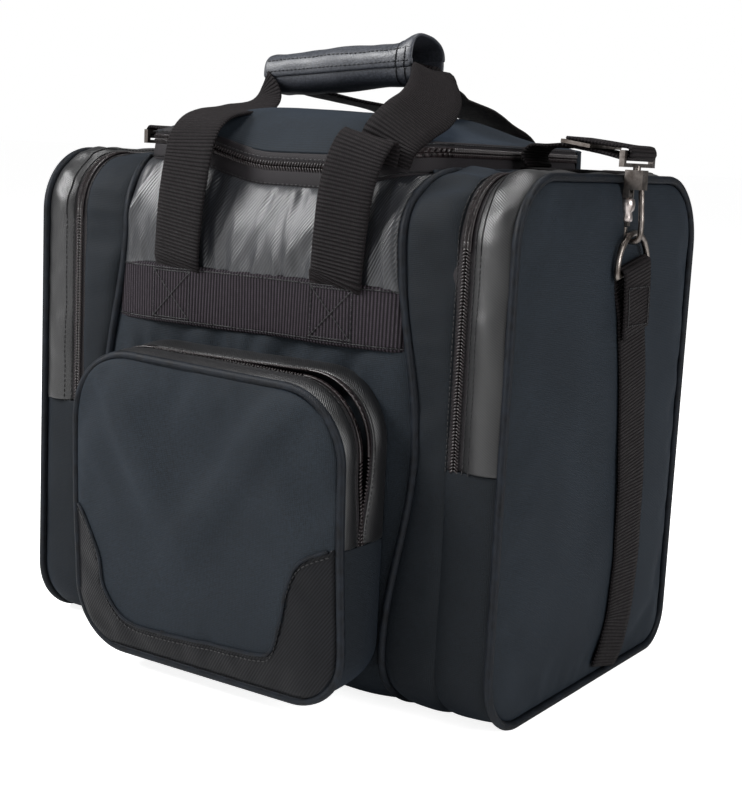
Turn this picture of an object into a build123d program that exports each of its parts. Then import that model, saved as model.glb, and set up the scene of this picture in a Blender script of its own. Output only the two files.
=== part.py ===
"""Bowling ball tote: a soft case for one ball, with a shoe pod on each end and a front pocket.

Units are millimetres. X runs across the bag to its right end, -Y is the front, +Z is up.
The origin is on the ground under the middle of the ball compartment.
Each fabric piece is a thin closed solid. Neighbouring pieces are a hair apart, as cut fabric is
before it is sewn, and every piece is written to its own file.
"""
from build123d import *
import os
from math import tan, radians

# Driving dimensions of the case
HALF_DEPTH = 125
POD_HEIGHT = 328
POD_FLOOR = 2
SEAM_X = 117.5
OUTER_PIPING_X = 182
FOLD_Z = 158
FRONT_FOOT_R = 38
REAR_FOOT_R = 25
REAR_CROWN_R = 45
FRONT_CROWN_R = 40

# Materials
FABRIC = 3
GAP = 0.4
PIPING_R = 2.4
WEB_WIDTH = 38
WEB_THICK = 2.4

# Ball compartment
BODY_HALF = SEAM_X - PIPING_R - GAP
SHOULDER_Z = 262
RIM_Z = 314
RIM_HALF_DEPTH = 113
BAND_LOW = 222
BAND_FACE = HALF_DEPTH + 6.4

# Lid and its zip, drawn flat and then tipped up towards the rear
LID_HALF = 112
LID_CORNER_R = 30
ZIP_END_Y = 82
LID_TILT = 4
ZIP_Z = 326
LID_EDGE_Z = 338
LID_CROWN_Z = 352
LID_CROWN_R = 820
TAPE = 1.2
COIL = 3.6

# Shoe pods: where each ring of the gusset starts and ends along X
POD_GUSSET = (SEAM_X + PIPING_R + GAP, 142.8)
POD_ZIP_X = 151
POD_TAPE_HALF = 7.6
POD_STRIP = (159.2, OUTER_PIPING_X - PIPING_R - GAP)

# Front pocket
POCKET_HALF = 105
POCKET_FLOOR = 14
POCKET_TOP = 204
POCKET_R = 30
POCKET_FACE = -173
POCKET_FOLD_Z = 110
POCKET_ZIP_Y = -150

# Handles
HANDLE_X = 63
GRIP_HALF = 66
GRIP_Y = -20
GRIP_Z = 388

# Side webbing and strap hardware, drawn for the right end
STRAP_Y = 5
WEB_FOOT_Y = 34
WEB_TILT = 12
RING_X = 192
RING_Z = 276
RING_R = 22
WIRE_R = 2
HOOK_X = RING_X
EYE_LOW = 335.6
EYE_HIGH = 345.6
BIG = 1000


def rounded(left, right, bottom, top, radii, inset=0):
    """Rectangle with its own radius at each corner, in the XY plane.

    The radii run bottom left, bottom right, top right, top left.
    """
    low_x, high_x = left + inset, right - inset
    low_y, high_y = bottom + inset, top - inset
    corners = [(low_x, low_y), (high_x, low_y), (high_x, high_y), (low_x, high_y)]
    outline = make_face(Polyline(*corners, close=True))
    for corner, radius in zip(corners, radii):
        nearest = outline.vertices().sort_by_distance((corner[0], corner[1], 0))[0]
        outline = fillet(nearest, max(radius - inset, 0.5))
    return outline


def slab(x0, x1, y0, y1, z0, z1):
    """Plain block between two corners."""
    return Pos((x0 + x1) / 2, (y0 + y1) / 2, (z0 + z1) / 2) * Box(x1 - x0, y1 - y0, z1 - z0)


def above(part, z):
    return part & slab(-BIG, BIG, -BIG, BIG, z + GAP / 2, BIG)


def below(part, z):
    return part & slab(-BIG, BIG, -BIG, BIG, -BIG, z - GAP / 2)


def across(face, x0, x1):
    """Extrude a face drawn in (y, z) from x0 to x1."""
    return Pos(x0, 0, 0) * extrude(Plane.YZ * face, x1 - x0)


def upright(face, y0, y1):
    """Extrude a face drawn in (x, z) from y0 back to y1."""
    return Pos(0, y1, 0) * extrude(Plane.XZ * face, y1 - y0)


def pod_outline(inset=0):
    radii = (FRONT_FOOT_R, REAR_FOOT_R, REAR_CROWN_R, FRONT_CROWN_R)
    return rounded(-HALF_DEPTH, HALF_DEPTH, POD_FLOOR, POD_HEIGHT, radii, inset)


def pod_ring(x0, x1, inset=0, thick=FABRIC):
    """Strip of gusset that runs right round the pod."""
    return across(pod_outline(inset) - pod_outline(inset + thick), x0, x1)


def loop_tube(outline, radius):
    """Round tube that follows the edge of an outline."""
    wire = outline.faces()[0].outer_wire()
    start = wire @ 0
    section = Plane(origin=start, z_dir=wire % 0) * Circle(radius)
    return sweep(section, path=wire)


def both_ends(part):
    """The part and its mirror image at the other end of the bag."""
    return Compound(children=[solid for solid in part.solids() + mirror(part, about=Plane.YZ).solids()])


def left_of(part):
    return mirror(part, about=Plane.YZ)


# ---------------------------------------------------------------- ball compartment

def body_section(inset, top=RIM_Z):
    """Section of the ball compartment from the end, with the walls leaning in to the rim."""
    depth = HALF_DEPTH - inset
    rim = RIM_HALF_DEPTH - inset
    shoulder = SHOULDER_Z
    points = [(-depth, inset), (depth, inset), (depth, shoulder), (rim, top), (-rim, top), (-depth, shoulder)]
    outline = make_face(Polyline(*points, close=True))
    for corner, radius in ((points[0], FRONT_FOOT_R), (points[1], REAR_FOOT_R)):
        nearest = outline.vertices().sort_by_distance((corner[0], corner[1], 0))[0]
        outline = fillet(nearest, radius - inset)
    return outline


def body_wall():
    """The wall of the ball compartment as one open-topped ring."""
    ring = across(body_section(0), -BODY_HALF, BODY_HALF)
    hollow = across(body_section(FABRIC, RIM_Z), -BIG, BIG)
    hollow += slab(-BIG, BIG, FABRIC - RIM_HALF_DEPTH, RIM_HALF_DEPTH - FABRIC, RIM_Z - 1, BIG)
    return ring - hollow


FRONT_EDGE = FRONT_FOOT_R - HALF_DEPTH
REAR_EDGE = HALF_DEPTH - REAR_FOOT_R


def base_panel():
    return body_wall() & slab(-BIG, BIG, FRONT_EDGE + GAP, REAR_EDGE - GAP, -1, FABRIC + 1)


def base_board():
    """Stiffener that keeps the floor flat under the ball."""
    low = FABRIC + GAP
    face = rounded(-100, 100, FRONT_EDGE + 2, REAR_EDGE - 2, (8, 8, 8, 8))
    return Pos(0, 0, low) * extrude(face, 4)


def ball_cradle():
    """Foam ring that the ball sits in."""
    low = FABRIC + 2 * GAP + 4
    block = Pos(0, 0, low) * extrude(rounded(-96, 96, -84, 96, (20, 20, 20, 20)), 34)
    ball = Pos(0, 6, low + 8 + 109) * Sphere(109.5)
    well = Pos(0, 6, low + 10) * Cylinder(48, 60)
    return block - ball - well


def front_panel():
    return body_wall() & slab(-BIG, BIG, -BIG, FRONT_EDGE, -1, SHOULDER_Z - 2)


def front_yoke():
    return body_wall() & slab(-BIG, BIG, -BIG, 0, SHOULDER_Z - 2 + GAP, BIG)


def back_panel():
    """Back of the compartment, carried up to the fold that the lid hangs on."""
    wall = body_wall() & slab(-BIG, BIG, REAR_EDGE, BIG, -1, BIG)
    collar = tip_up(rear_collar(RIM_Z + GAP, LID_EDGE_Z - GAP))
    bridge_top = ZIP_Z + 2 * RIM_HALF_DEPTH * tan(radians(LID_TILT)) - 2
    bridge_half = LID_HALF - LID_CORNER_R
    bridge = slab(-bridge_half, bridge_half, RIM_HALF_DEPTH - FABRIC, RIM_HALF_DEPTH, RIM_Z - FABRIC, bridge_top)
    return wall + bridge + collar


def dividers():
    """Padded walls between the ball and the two shoe pods."""
    one = across(body_section(FABRIC + GAP, RIM_Z - GAP), BODY_HALF - FABRIC, BODY_HALF)
    return both_ends(one)


def body_piping():
    tube = loop_tube(pod_outline(0.6), PIPING_R)
    return both_ends(Pos(SEAM_X, 0, 0) * (Plane.YZ * tube))


def handle_bands():
    """Webbing sewn across the front and the back, over the ends of the handles."""
    front = slab(-BODY_HALF, BODY_HALF, -BAND_FACE, WEB_THICK - BAND_FACE, BAND_LOW, BAND_LOW + WEB_WIDTH)
    return Compound(children=[front, mirror(front, about=Plane.XZ)])


# ---------------------------------------------------------------- lid

def tip_up(part):
    """Tip a lid piece about the front of the zip."""
    return Pos(0, -LID_HALF, ZIP_Z) * Rot(LID_TILT, 0, 0) * Pos(0, LID_HALF, -ZIP_Z) * part


def lid_plan(inset=0):
    """Outline of the lid from above."""
    return rounded(-LID_HALF, LID_HALF, -LID_HALF, LID_HALF, (LID_CORNER_R,) * 4, inset)


def rim_wall(half_thick, z0, z1):
    """Thin wall that stands on the outline of the lid."""
    return Pos(0, 0, z0) * extrude(lid_plan(-half_thick) - lid_plan(half_thick), z1 - z0)


def lid_rim(half_thick, z0, z1):
    """The wall round the front and the two ends, where the zip runs."""
    return rim_wall(half_thick, z0, z1) & slab(-BIG, BIG, -BIG, ZIP_END_Y, z0, z1)


def rear_collar(z0, z1):
    """The wall round the rear, behind the ends of the zip."""
    return rim_wall(FABRIC / 2, z0, z1) & slab(-BIG, BIG, ZIP_END_Y + GAP, BIG, z0, z1)


def lid_zip_body_half():
    tape = lid_rim(TAPE / 2, RIM_Z + GAP, ZIP_Z - GAP / 2)
    return tip_up(tape + lid_rim(COIL / 2, ZIP_Z - 3, ZIP_Z - GAP / 2))


def lid_zip_lid_half():
    tape = lid_rim(TAPE / 2, ZIP_Z + GAP / 2, LID_EDGE_Z - GAP)
    return tip_up(tape + lid_rim(COIL / 2, ZIP_Z + GAP / 2, ZIP_Z + 3))


def lid_dome(inset, low):
    """Block under the crown of the lid, whose top is part of a large ball."""
    plan = Pos(0, 0, low) * extrude(lid_plan(inset), 2 * (LID_CROWN_Z - low))
    return plan & (Pos(0, 0, LID_CROWN_Z - LID_CROWN_R) * Sphere(LID_CROWN_R - inset))


def lid_panel():
    """Domed top, a shell with a short turned-down rim."""
    return tip_up(lid_dome(0, LID_EDGE_Z) - lid_dome(FABRIC, LID_EDGE_Z - 1))


# ---------------------------------------------------------------- handles and grip

def ribbon(stations, width, thick):
    """Webbing through a list of (point, along, across) stations."""
    sections = []
    for point, along, side in stations:
        plane = Plane(origin=point, x_dir=side, z_dir=along)
        sections.append(plane * Rectangle(width, thick))
    return loft(sections, ruled=True)


def handle_leg(side):
    """One leg of the front handle, from under the band up to the end of the grip."""
    x = side * HANDLE_X
    stations = [
        ((x, -127.2, BAND_LOW + 2), (0, 0, 1), (1, 0, 0)),
        ((x, -127.2, BAND_LOW + WEB_WIDTH), (0, -0.2, 1), (1, 0, 0)),
        ((x, -133, 292), (0, 0, 1), (1, 0, 0)),
        ((x, -129, 330), (0, 0.35, 1), (1, 0, 0)),
        ((x, -108, 357), (0, 1, 0.8), (1, 0, 0)),
        ((side * 64, -74, 372), (0, 1, 0.3), (1, 0, 0)),
        ((side * 74, -46, 380), (-side * 0.3, 1, 0.5), (0.9, side * 0.4, 0)),
        ((side * 80, -30, 385), (-side, 0.8, 0.3), (0.6, side * 0.8, 0)),
        ((side * 68, GRIP_Y, 386), (-side, 0, 0), (0, side * 1, 0)),
    ]
    return ribbon(stations, WEB_WIDTH * 0.84, WEB_THICK)


def handle_bar(z):
    """The part of a handle that lies inside the grip."""
    half_web = WEB_WIDTH * 0.42
    return slab(-68.5, 68.5, GRIP_Y - half_web, GRIP_Y + half_web, z - WEB_THICK / 2, z + WEB_THICK / 2)


def front_handle():
    return handle_leg(1) + handle_leg(-1) + handle_bar(386)


def rear_handle():
    """Mirror of the front handle, with its middle on top of the other one in the grip."""
    legs = []
    for side in (1, -1):
        x = side * HANDLE_X
        stations = [
            ((x, 127.2, BAND_LOW + 2), (0, 0, 1), (1, 0, 0)),
            ((x, 127.2, BAND_LOW + WEB_WIDTH), (0, 0.2, 1), (1, 0, 0)),
            ((x, 133, 292), (0, 0, 1), (1, 0, 0)),
            ((x, 129, 334), (0, -0.35, 1), (1, 0, 0)),
            ((x, 108, 366), (0, -1, 0.6), (1, 0, 0)),
            ((side * 64, 60, 376), (0, -1, 0.3), (1, 0, 0)),
            ((side * 76, 20, 388), (0, -1, 0.4), (0.9, -side * 0.3, 0)),
            ((side * 84, 0, 392), (-side * 0.8, -1, 0.1), (0.7, -side * 0.7, 0)),
            ((side * 68, GRIP_Y, 391), (-side, 0, 0), (0, -side * 1, 0)),
        ]
        legs.append(ribbon(stations, WEB_WIDTH * 0.84, WEB_THICK))
    return legs[0] + legs[1] + handle_bar(391)


GRIP_DEPTH = 40
GRIP_HEIGHT = 22
GRIP_MID = 389


def grip_shell():
    """Sleeve of padded leather cloth round both handles, before it is parted into wrap and flap."""
    low, high = GRIP_MID - GRIP_HEIGHT / 2, GRIP_MID + GRIP_HEIGHT / 2
    near, far = GRIP_Y - GRIP_DEPTH / 2, GRIP_Y + GRIP_DEPTH / 2
    outer = rounded(near, far, low, high, (9, 9, 9, 9))
    inner = rounded(near, far, low, high, (9, 9, 9, 9), FABRIC)
    return across(outer - inner, -GRIP_HALF, GRIP_HALF)


def grip_wrap():
    return below(grip_shell(), GRIP_MID)


def grip_flap():
    return above(grip_shell(), GRIP_MID)


# ---------------------------------------------------------------- shoe pods (right-hand pieces)

def pod_gusset():
    return pod_ring(*POD_GUSSET)


def pod_lower_gusset():
    return below(pod_ring(POD_GUSSET[1] + GAP, POD_STRIP[1]), FOLD_Z)


def pod_panel():
    inset = 0.9 + PIPING_R + 2 * GAP
    return across(pod_outline(inset), OUTER_PIPING_X - 1, OUTER_PIPING_X - 1 + FABRIC)


def pod_zip_half(x0, x1, coil_x0, coil_x1):
    tape = pod_ring(x0, x1, 0.8, TAPE)
    return above(tape + pod_ring(coil_x0, coil_x1, -0.4, COIL), FOLD_Z)


def pod_zip_inner():
    edge = POD_ZIP_X - GAP / 2
    return pod_zip_half(POD_GUSSET[1] + GAP, edge, edge - 2, edge)


def pod_zip_outer():
    edge = POD_ZIP_X + GAP / 2
    return pod_zip_half(edge, POD_STRIP[0] - GAP, edge, edge + 2)


def pod_strip():
    return above(pod_ring(*POD_STRIP), FOLD_Z)


def pod_piping():
    tube = loop_tube(pod_outline(0.9), PIPING_R)
    return Pos(OUTER_PIPING_X, 0, 0) * (Plane.YZ * tube)


# ---------------------------------------------------------------- front pocket

def pocket_outline(inset=0, top=POCKET_TOP):
    radii = (POCKET_R, POCKET_R, POCKET_R, POCKET_R)
    return rounded(-POCKET_HALF, POCKET_HALF, POCKET_FLOOR, top, radii, inset)


def pocket_ring(y0, y1, inset=0, thick=FABRIC):
    return upright(pocket_outline(inset) - pocket_outline(inset + thick), y0, y1)


POCKET_TAPE = 6
POCKET_REAR = (POCKET_ZIP_Y + POCKET_TAPE + GAP, -HALF_DEPTH - GAP)
POCKET_RIM_Y = POCKET_FACE + 2.6


def pocket_rear_strip():
    """Upper gusset strip, cut back at the front panel's band."""
    return above(pocket_ring(*POCKET_REAR), POCKET_FOLD_Z)


def pocket_zip_half(y0, y1, coil_y0, coil_y1):
    tape = pocket_ring(y0, y1, 0.8, TAPE)
    return above(tape + pocket_ring(coil_y0, coil_y1, -0.4, COIL), POCKET_FOLD_Z)


def pocket_zip_rear():
    edge = POCKET_ZIP_Y + GAP / 2
    return pocket_zip_half(edge, POCKET_ZIP_Y + POCKET_TAPE, edge, edge + 2)


def pocket_zip_front():
    edge = POCKET_ZIP_Y - GAP / 2
    return pocket_zip_half(POCKET_ZIP_Y - POCKET_TAPE, edge, edge - 2, edge)


def pocket_front_strip():
    front = POCKET_RIM_Y + PIPING_R + GAP
    return above(pocket_ring(front, POCKET_ZIP_Y - POCKET_TAPE - GAP), POCKET_FOLD_Z)


def pocket_lower_gusset():
    front = POCKET_RIM_Y + PIPING_R + GAP
    return below(pocket_ring(front, -HALF_DEPTH - GAP), POCKET_FOLD_Z)


def pocket_panel():
    inset = 0.9 + PIPING_R + 2 * GAP
    return upright(pocket_outline(inset), POCKET_FACE, POCKET_FACE + FABRIC)


def pocket_piping():
    tube = loop_tube(pocket_outline(0.9), PIPING_R)
    return Pos(0, POCKET_RIM_Y, 0) * (Plane.XZ * tube)


# ---------------------------------------------------------------- side webbing and strap hardware

PANEL_X = OUTER_PIPING_X - 1 + FABRIC


def side_webbing():
    """Webbing from the bottom seam up to the fold of the pod."""
    near, far = WEB_FOOT_Y - WEB_WIDTH / 2, WEB_FOOT_Y + WEB_WIDTH / 2
    return slab(PANEL_X + GAP, PANEL_X + GAP + WEB_THICK, near, far, 8, FOLD_Z - GAP)


def lean(part):
    """Leans a piece that hangs on the upper webbing, which runs up and forward from the fold."""
    pivot = (0, WEB_FOOT_Y, FOLD_Z)
    return Pos(*pivot) * Rot(WEB_TILT, 0, 0) * Pos(0, -WEB_FOOT_Y, -FOLD_Z) * part


def ring_webbing():
    """Webbing above the fold, looped over the bar of the D-ring and sewn back down on itself."""
    inner_x = PANEL_X + GAP
    loop_r = WIRE_R + GAP
    outer_r = loop_r + WEB_THICK
    tail_x = inner_x + 2 * WEB_THICK
    points = [
        (inner_x, FOLD_Z - 10), (inner_x + WEB_THICK, FOLD_Z - 10), (inner_x + WEB_THICK, 232),
        (tail_x, 232), (tail_x, 256), (RING_X + outer_r, RING_Z), (RING_X - outer_r, RING_Z),
        (inner_x, 256),
    ]
    sheet = make_face(Polyline(*points, close=True)) + Pos(RING_X, RING_Z) * Circle(outer_r)
    sheet -= Pos(RING_X, RING_Z) * Circle(loop_r)
    half = WEB_WIDTH / 2
    return above(lean(upright(sheet, WEB_FOOT_Y - half, WEB_FOOT_Y + half)), FOLD_Z)


def d_ring():
    arc = Torus(RING_R, WIRE_R) & slab(-BIG, BIG, 0, BIG, -BIG, BIG)
    bar = Rot(0, 90, 0) * Cylinder(WIRE_R, 2 * RING_R)
    ends = [Pos(side * RING_R, 0, 0) * Sphere(WIRE_R) for side in (1, -1)]
    ring = arc + bar + ends[0] + ends[1]
    return lean(Pos(RING_X, WEB_FOOT_Y, RING_Z) * (Plane.YZ * ring))


HOOK_TOP = 334
HOOK_LOW = 322
HOOK_HALF = 6
LIMB_R = 1.8
GATE_X = HOOK_X - 4.4
PIN_Z = 319
TIP_Z = 299
POST_R = 2.4


def snap_hook():
    """Swivel block, bent limb that passes through the D-ring, and the pin of the gate."""
    near, far = STRAP_Y - 4, STRAP_Y + 4
    block = slab(HOOK_X - HOOK_HALF, HOOK_X + HOOK_HALF, near, far, HOOK_LOW, HOOK_TOP)
    ears = slab(GATE_X - 2, GATE_X + 2, near, far, PIN_Z - 2, HOOK_LOW)
    slot = slab(GATE_X - 3, GATE_X + 3, near + 1.6, far - 1.6, PIN_Z - 3, HOOK_LOW + 1)
    bore = Pos(HOOK_X, STRAP_Y, HOOK_TOP) * Cylinder(POST_R + 0.1, 16)
    pin = Pos(GATE_X, STRAP_Y, PIN_Z) * Rot(90, 0, 0) * Cylinder(0.9, 8)
    bend_x, bend_z, bend_r = HOOK_X + 0.2, 295.6, 5.4
    path = Polyline((HOOK_X + 4, HOOK_LOW + 2), (bend_x + bend_r, bend_z + 8), (bend_x + bend_r, bend_z))
    path += ThreePointArc((bend_x + bend_r, bend_z), (bend_x, bend_z - bend_r), (bend_x - bend_r, bend_z))
    path += Line((bend_x - bend_r, bend_z), (bend_x - bend_r, TIP_Z))
    wire = Plane.XZ * path
    section = Plane(origin=wire @ 0, z_dir=wire % 0) * Circle(LIMB_R)
    limb = Pos(0, STRAP_Y, 0) * sweep(section, path=wire, transition=Transition.ROUND)
    return (block + ears - slot - bore) + pin + limb


def hook_gate():
    """Sprung gate that hangs on the pin and closes on the tip of the hook."""
    half_y = 2.1
    bar = slab(GATE_X - 1.7, GATE_X + 1.7, STRAP_Y - half_y, STRAP_Y + half_y, TIP_Z + 0.6, PIN_Z)
    head = Pos(GATE_X, STRAP_Y, PIN_Z) * Rot(90, 0, 0) * Cylinder(1.7, 2 * half_y)
    hole = Pos(GATE_X, STRAP_Y, PIN_Z) * Rot(90, 0, 0) * Cylinder(1, 10)
    return bar + head - hole


def hook_swivel():
    """Rectangular eye for the webbing, turning on its post in the hook."""
    post = Pos(HOOK_X, STRAP_Y, 0) * slab_cylinder(POST_R, HOOK_TOP - 7, EYE_LOW + 1)
    half_y, bar = 23, 3.2
    near, far = STRAP_Y - half_y, STRAP_Y + half_y
    frame = slab(HOOK_X - 1.7, HOOK_X + 1.7, near, far, EYE_LOW, EYE_HIGH)
    window = slab(HOOK_X - 4, HOOK_X + 4, near + bar, far - bar, EYE_LOW + 2.4, EYE_HIGH - bar)
    return post + frame - window


def slab_cylinder(radius, z0, z1):
    return Pos(0, 0, (z0 + z1) / 2) * Cylinder(radius, z1 - z0)


EYE_BAR_Z = EYE_HIGH - 1.6
STRAP_RISE = 8
ADJUSTER_X = 160
STRAP_TAIL_X = 150
STRAP_LANE = 138


def raise_tail(part):
    """Turns the right-hand strap end about the bar of its eye, so that it climbs towards the bag's middle."""
    return Pos(HOOK_X, 0, EYE_BAR_Z) * Rot(0, STRAP_RISE, 0) * Pos(-HOOK_X, 0, -EYE_BAR_Z) * part


def strap_end():
    """End of the shoulder strap: through the eye, round its top bar and back on itself."""
    loop_r = 2.6
    outer_r = loop_r + WEB_THICK
    low_z = EYE_BAR_Z - outer_r
    points = [
        (HOOK_X, low_z), (HOOK_X, low_z + WEB_THICK), (STRAP_TAIL_X, low_z + WEB_THICK),
        (STRAP_TAIL_X, low_z),
    ]
    lower = make_face(Polyline(*points, close=True))
    upper = Pos(0, 2 * loop_r + WEB_THICK) * lower
    loop = Pos(HOOK_X, EYE_BAR_Z) * (Circle(outer_r) - Circle(loop_r))
    loop &= Pos(HOOK_X + 10, EYE_BAR_Z) * Rectangle(20, 40)
    half = WEB_WIDTH / 2
    return upright(lower + upper + loop, STRAP_Y - half, STRAP_Y + half)


def strap_adjuster():
    """Three-bar slide that the strap is threaded through."""
    mid_z = EYE_BAR_Z
    half_y, half_x, bar = 23, 10, 3
    frame = slab(-half_x, half_x, -half_y, half_y, -1.1, 1.1)
    for side in (1, -1):
        x0, x1 = sorted((side * 1.5, side * (half_x - bar)))
        frame -= slab(x0, x1, bar - half_y, half_y - bar, -5, 5)
    return raise_tail(Pos(ADJUSTER_X, STRAP_Y, mid_z) * frame)


def shoulder_strap():
    """Slack strap over the right pod, down behind the bag and up over the left pod."""
    mid = EYE_BAR_Z - 2.6 - WEB_THICK / 2
    stations = [
        ((STRAP_TAIL_X - 1, STRAP_Y, mid + 6), (-1, 0, 0), (0, 1, 0)),
        ((STRAP_LANE + 4, STRAP_Y + 4, mid + 6), (-1, 0.5, 0), (0.5, 1, 0)),
        ((STRAP_LANE, 70, mid + 2), (0, 1, 0), (1, 0, 0)),
        ((STRAP_LANE, 112, 341), (0, 1, -0.5), (1, 0, 0)),
        ((STRAP_LANE, 133, 325), (0, 0.2, -1), (1, 0, 0)),
        ((126, 136, 270), (-0.3, 0, -1), (1, 0, -0.3)),
        ((80, 138, 215), (-1, 0, -0.7), (0.7, 0, -1)),
        ((0, 140, 190), (-1, 0, 0), (0, 0, -1)),
        ((-80, 138, 215), (-1, 0, 0.7), (-0.7, 0, -1)),
        ((-126, 136, 270), (-0.3, 0, 1), (-1, 0, -0.3)),
        ((-STRAP_LANE, 133, 325), (0, -0.2, 1), (-1, 0, 0)),
        ((-STRAP_LANE, 112, 338), (0, -1, 0.5), (-1, 0, 0)),
        ((-STRAP_LANE, 70, mid - 1), (0, -1, 0), (-1, 0, 0)),
        ((-STRAP_LANE - 4, STRAP_Y + 4, mid), (-1, -0.5, 0), (-0.5, 1, 0)),
        ((1 - STRAP_TAIL_X, STRAP_Y, mid), (-1, 0, 0), (0, 1, 0)),
    ]
    return ribbon(stations, WEB_WIDTH - 4, WEB_THICK)


# ---------------------------------------------------------------- zip sliders and pulls

SLIDER_LONG = 13
SLIDER_WIDE = 9
SLIDER_STAND = 1.4
PULL_LONG = 28


def slider():
    """Zip slider lying in the XY plane, travelling along +Y, outer face up, coil below z = 0."""
    plate = slab(-SLIDER_WIDE / 2, SLIDER_WIDE / 2, -SLIDER_LONG / 2, SLIDER_LONG / 2, 0, 2)
    bridge = slab(-1.2, 1.2, -4.5, 4.5, 2, 5.6) - slab(-2, 2, -3, 3, 2, 4.4)
    return plate + bridge


def pull():
    """Pull tab with its eye round the bridge, hanging back along -Y."""
    eye = slab(-3.4, 3.4, -7, 1.6, 2.6, 4.0) - slab(-1.7, 1.7, -5.2, 0.9, 0, 9)
    tab = slab(-4, 4, -PULL_LONG, -6.6, 2.6, 4.0) - Pos(0, 4.5 - PULL_LONG, 3) * Cylinder(1.8, 9)
    return eye + tab


def place(part, origin, across_dir, normal):
    """Put a slider piece on a zip: its X axis along across_dir and its outer face along normal."""
    return Plane(origin=origin, x_dir=across_dir, z_dir=normal).location * part


POD_SLIDER = dict(origin=(POD_ZIP_X, HALF_DEPTH + SLIDER_STAND, FOLD_Z + 12), across_dir=(-1, 0, 0), normal=(0, 1, 0))
POCKET_SLIDER = dict(origin=(-POCKET_HALF - SLIDER_STAND, POCKET_ZIP_Y, POCKET_FOLD_Z + 10),
                     across_dir=(0, -1, 0), normal=(-1, 0, 0))


def lid_slider_piece(part):
    flat = place(part, (-LID_HALF - COIL / 2 - GAP, 66, ZIP_Z), (0, 0, -1), (-1, 0, 0))
    return tip_up(flat)


# ---------------------------------------------------------------- the assembly

def assembly():
    cover_panel = above(pod_panel(), FOLD_Z)
    cover_piping = above(pod_piping(), FOLD_Z)
    lower_piping = below(pod_piping(), FOLD_Z)
    nodes = {
        "base_panel": base_panel(),
        "base_board": base_board(),
        "ball_cradle": ball_cradle(),
        "front_panel": front_panel(),
        "front_yoke": front_yoke(),
        "back_panel": back_panel(),
        "dividers": dividers(),
        "body_piping": body_piping(),
        "handle_bands": handle_bands(),
        "lid_zip_body_half": lid_zip_body_half(),
        "lid_zip_lid_half": lid_zip_lid_half(),
        "lid_panel": lid_panel(),
        "front_handle": front_handle(),
        "rear_handle": rear_handle(),
        "grip_wrap": grip_wrap(),
        "grip_flap": grip_flap(),
        "pod_gussets": both_ends(pod_gusset()),
        "pod_lower_gussets": both_ends(pod_lower_gusset()),
        "pod_lower_panels": both_ends(below(pod_panel(), FOLD_Z)),
        "pod_inner_zips": both_ends(pod_zip_inner()),
        "side_webbings": both_ends(side_webbing()),
        "pocket_rear_strip": pocket_rear_strip(),
        "pocket_lower_gusset": pocket_lower_gusset(),
        "pocket_lower_panel": below(pocket_panel(), POCKET_FOLD_Z),
        "pocket_zip_rear": pocket_zip_rear(),
        "pocket_zip_front": pocket_zip_front(),
        "pocket_front_strip": pocket_front_strip(),
        "pocket_cover_panel": above(pocket_panel(), POCKET_FOLD_Z),
        "pocket_cover_piping": above(pocket_piping(), POCKET_FOLD_Z),
        "lower_piping": Compound(children=both_ends(lower_piping).solids()
                                 + below(pocket_piping(), POCKET_FOLD_Z).solids()),
        "shoulder_strap": shoulder_strap(),
        "strap_adjuster": strap_adjuster(),
        "lid_slider": lid_slider_piece(slider()),
        "lid_pull": lid_slider_piece(pull()),
        "pocket_slider": place(slider(), **POCKET_SLIDER),
        "pocket_pull": place(pull(), **POCKET_SLIDER),
    }
    pod_pieces = {
        "cover_strip": pod_strip(),
        "cover_panel": cover_panel,
        "cover_zip": pod_zip_outer(),
        "cover_piping": cover_piping,
        "ring_webbing": ring_webbing(),
        "strap_end": strap_end(),
        "d_ring": d_ring(),
        "snap_hook": snap_hook(),
        "hook_gate": hook_gate(),
        "hook_swivel": hook_swivel(),
        "pod_slider": place(slider(), **POD_SLIDER),
        "pod_pull": place(pull(), **POD_SLIDER),
    }
    for name, piece in pod_pieces.items():
        nodes["right_" + name] = piece
        nodes["left_" + name] = left_of(piece)
    nodes["right_strap_end"] = raise_tail(strap_end())
    return nodes


os.makedirs("parts", exist_ok=True)
for node, piece in assembly().items():
    export_step(piece, f"parts/{node}.step")
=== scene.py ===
"""Looks of the bowling ball tote: cloth, webbing, zips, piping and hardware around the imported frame.

Everything is in metres in the frame's own axes: +X is the bag's right end, -Y its front, +Z up.
"""
from math import cos, pi, radians, sin, sqrt

import bmesh
import bpy
import numpy as np
from mathutils import Matrix, Vector, noise
from mathutils.bvhtree import BVHTree


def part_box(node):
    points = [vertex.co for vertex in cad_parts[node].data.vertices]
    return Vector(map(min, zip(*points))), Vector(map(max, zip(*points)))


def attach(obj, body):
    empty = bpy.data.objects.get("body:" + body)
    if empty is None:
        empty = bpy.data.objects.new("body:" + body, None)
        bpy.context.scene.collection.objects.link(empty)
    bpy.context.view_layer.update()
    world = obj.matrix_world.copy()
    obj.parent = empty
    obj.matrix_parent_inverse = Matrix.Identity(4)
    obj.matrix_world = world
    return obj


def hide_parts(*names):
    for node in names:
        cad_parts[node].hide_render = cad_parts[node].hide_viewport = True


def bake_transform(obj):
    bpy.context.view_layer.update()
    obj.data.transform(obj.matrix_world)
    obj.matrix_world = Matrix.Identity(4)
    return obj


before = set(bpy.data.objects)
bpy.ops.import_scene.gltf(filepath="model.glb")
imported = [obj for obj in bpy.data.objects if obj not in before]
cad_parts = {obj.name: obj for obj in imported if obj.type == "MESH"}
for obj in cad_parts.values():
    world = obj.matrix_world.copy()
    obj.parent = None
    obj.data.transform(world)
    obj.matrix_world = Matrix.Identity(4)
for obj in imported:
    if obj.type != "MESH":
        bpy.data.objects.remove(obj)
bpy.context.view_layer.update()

MM = 0.001
SIDES = (("right", 1), ("left", -1))

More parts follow.
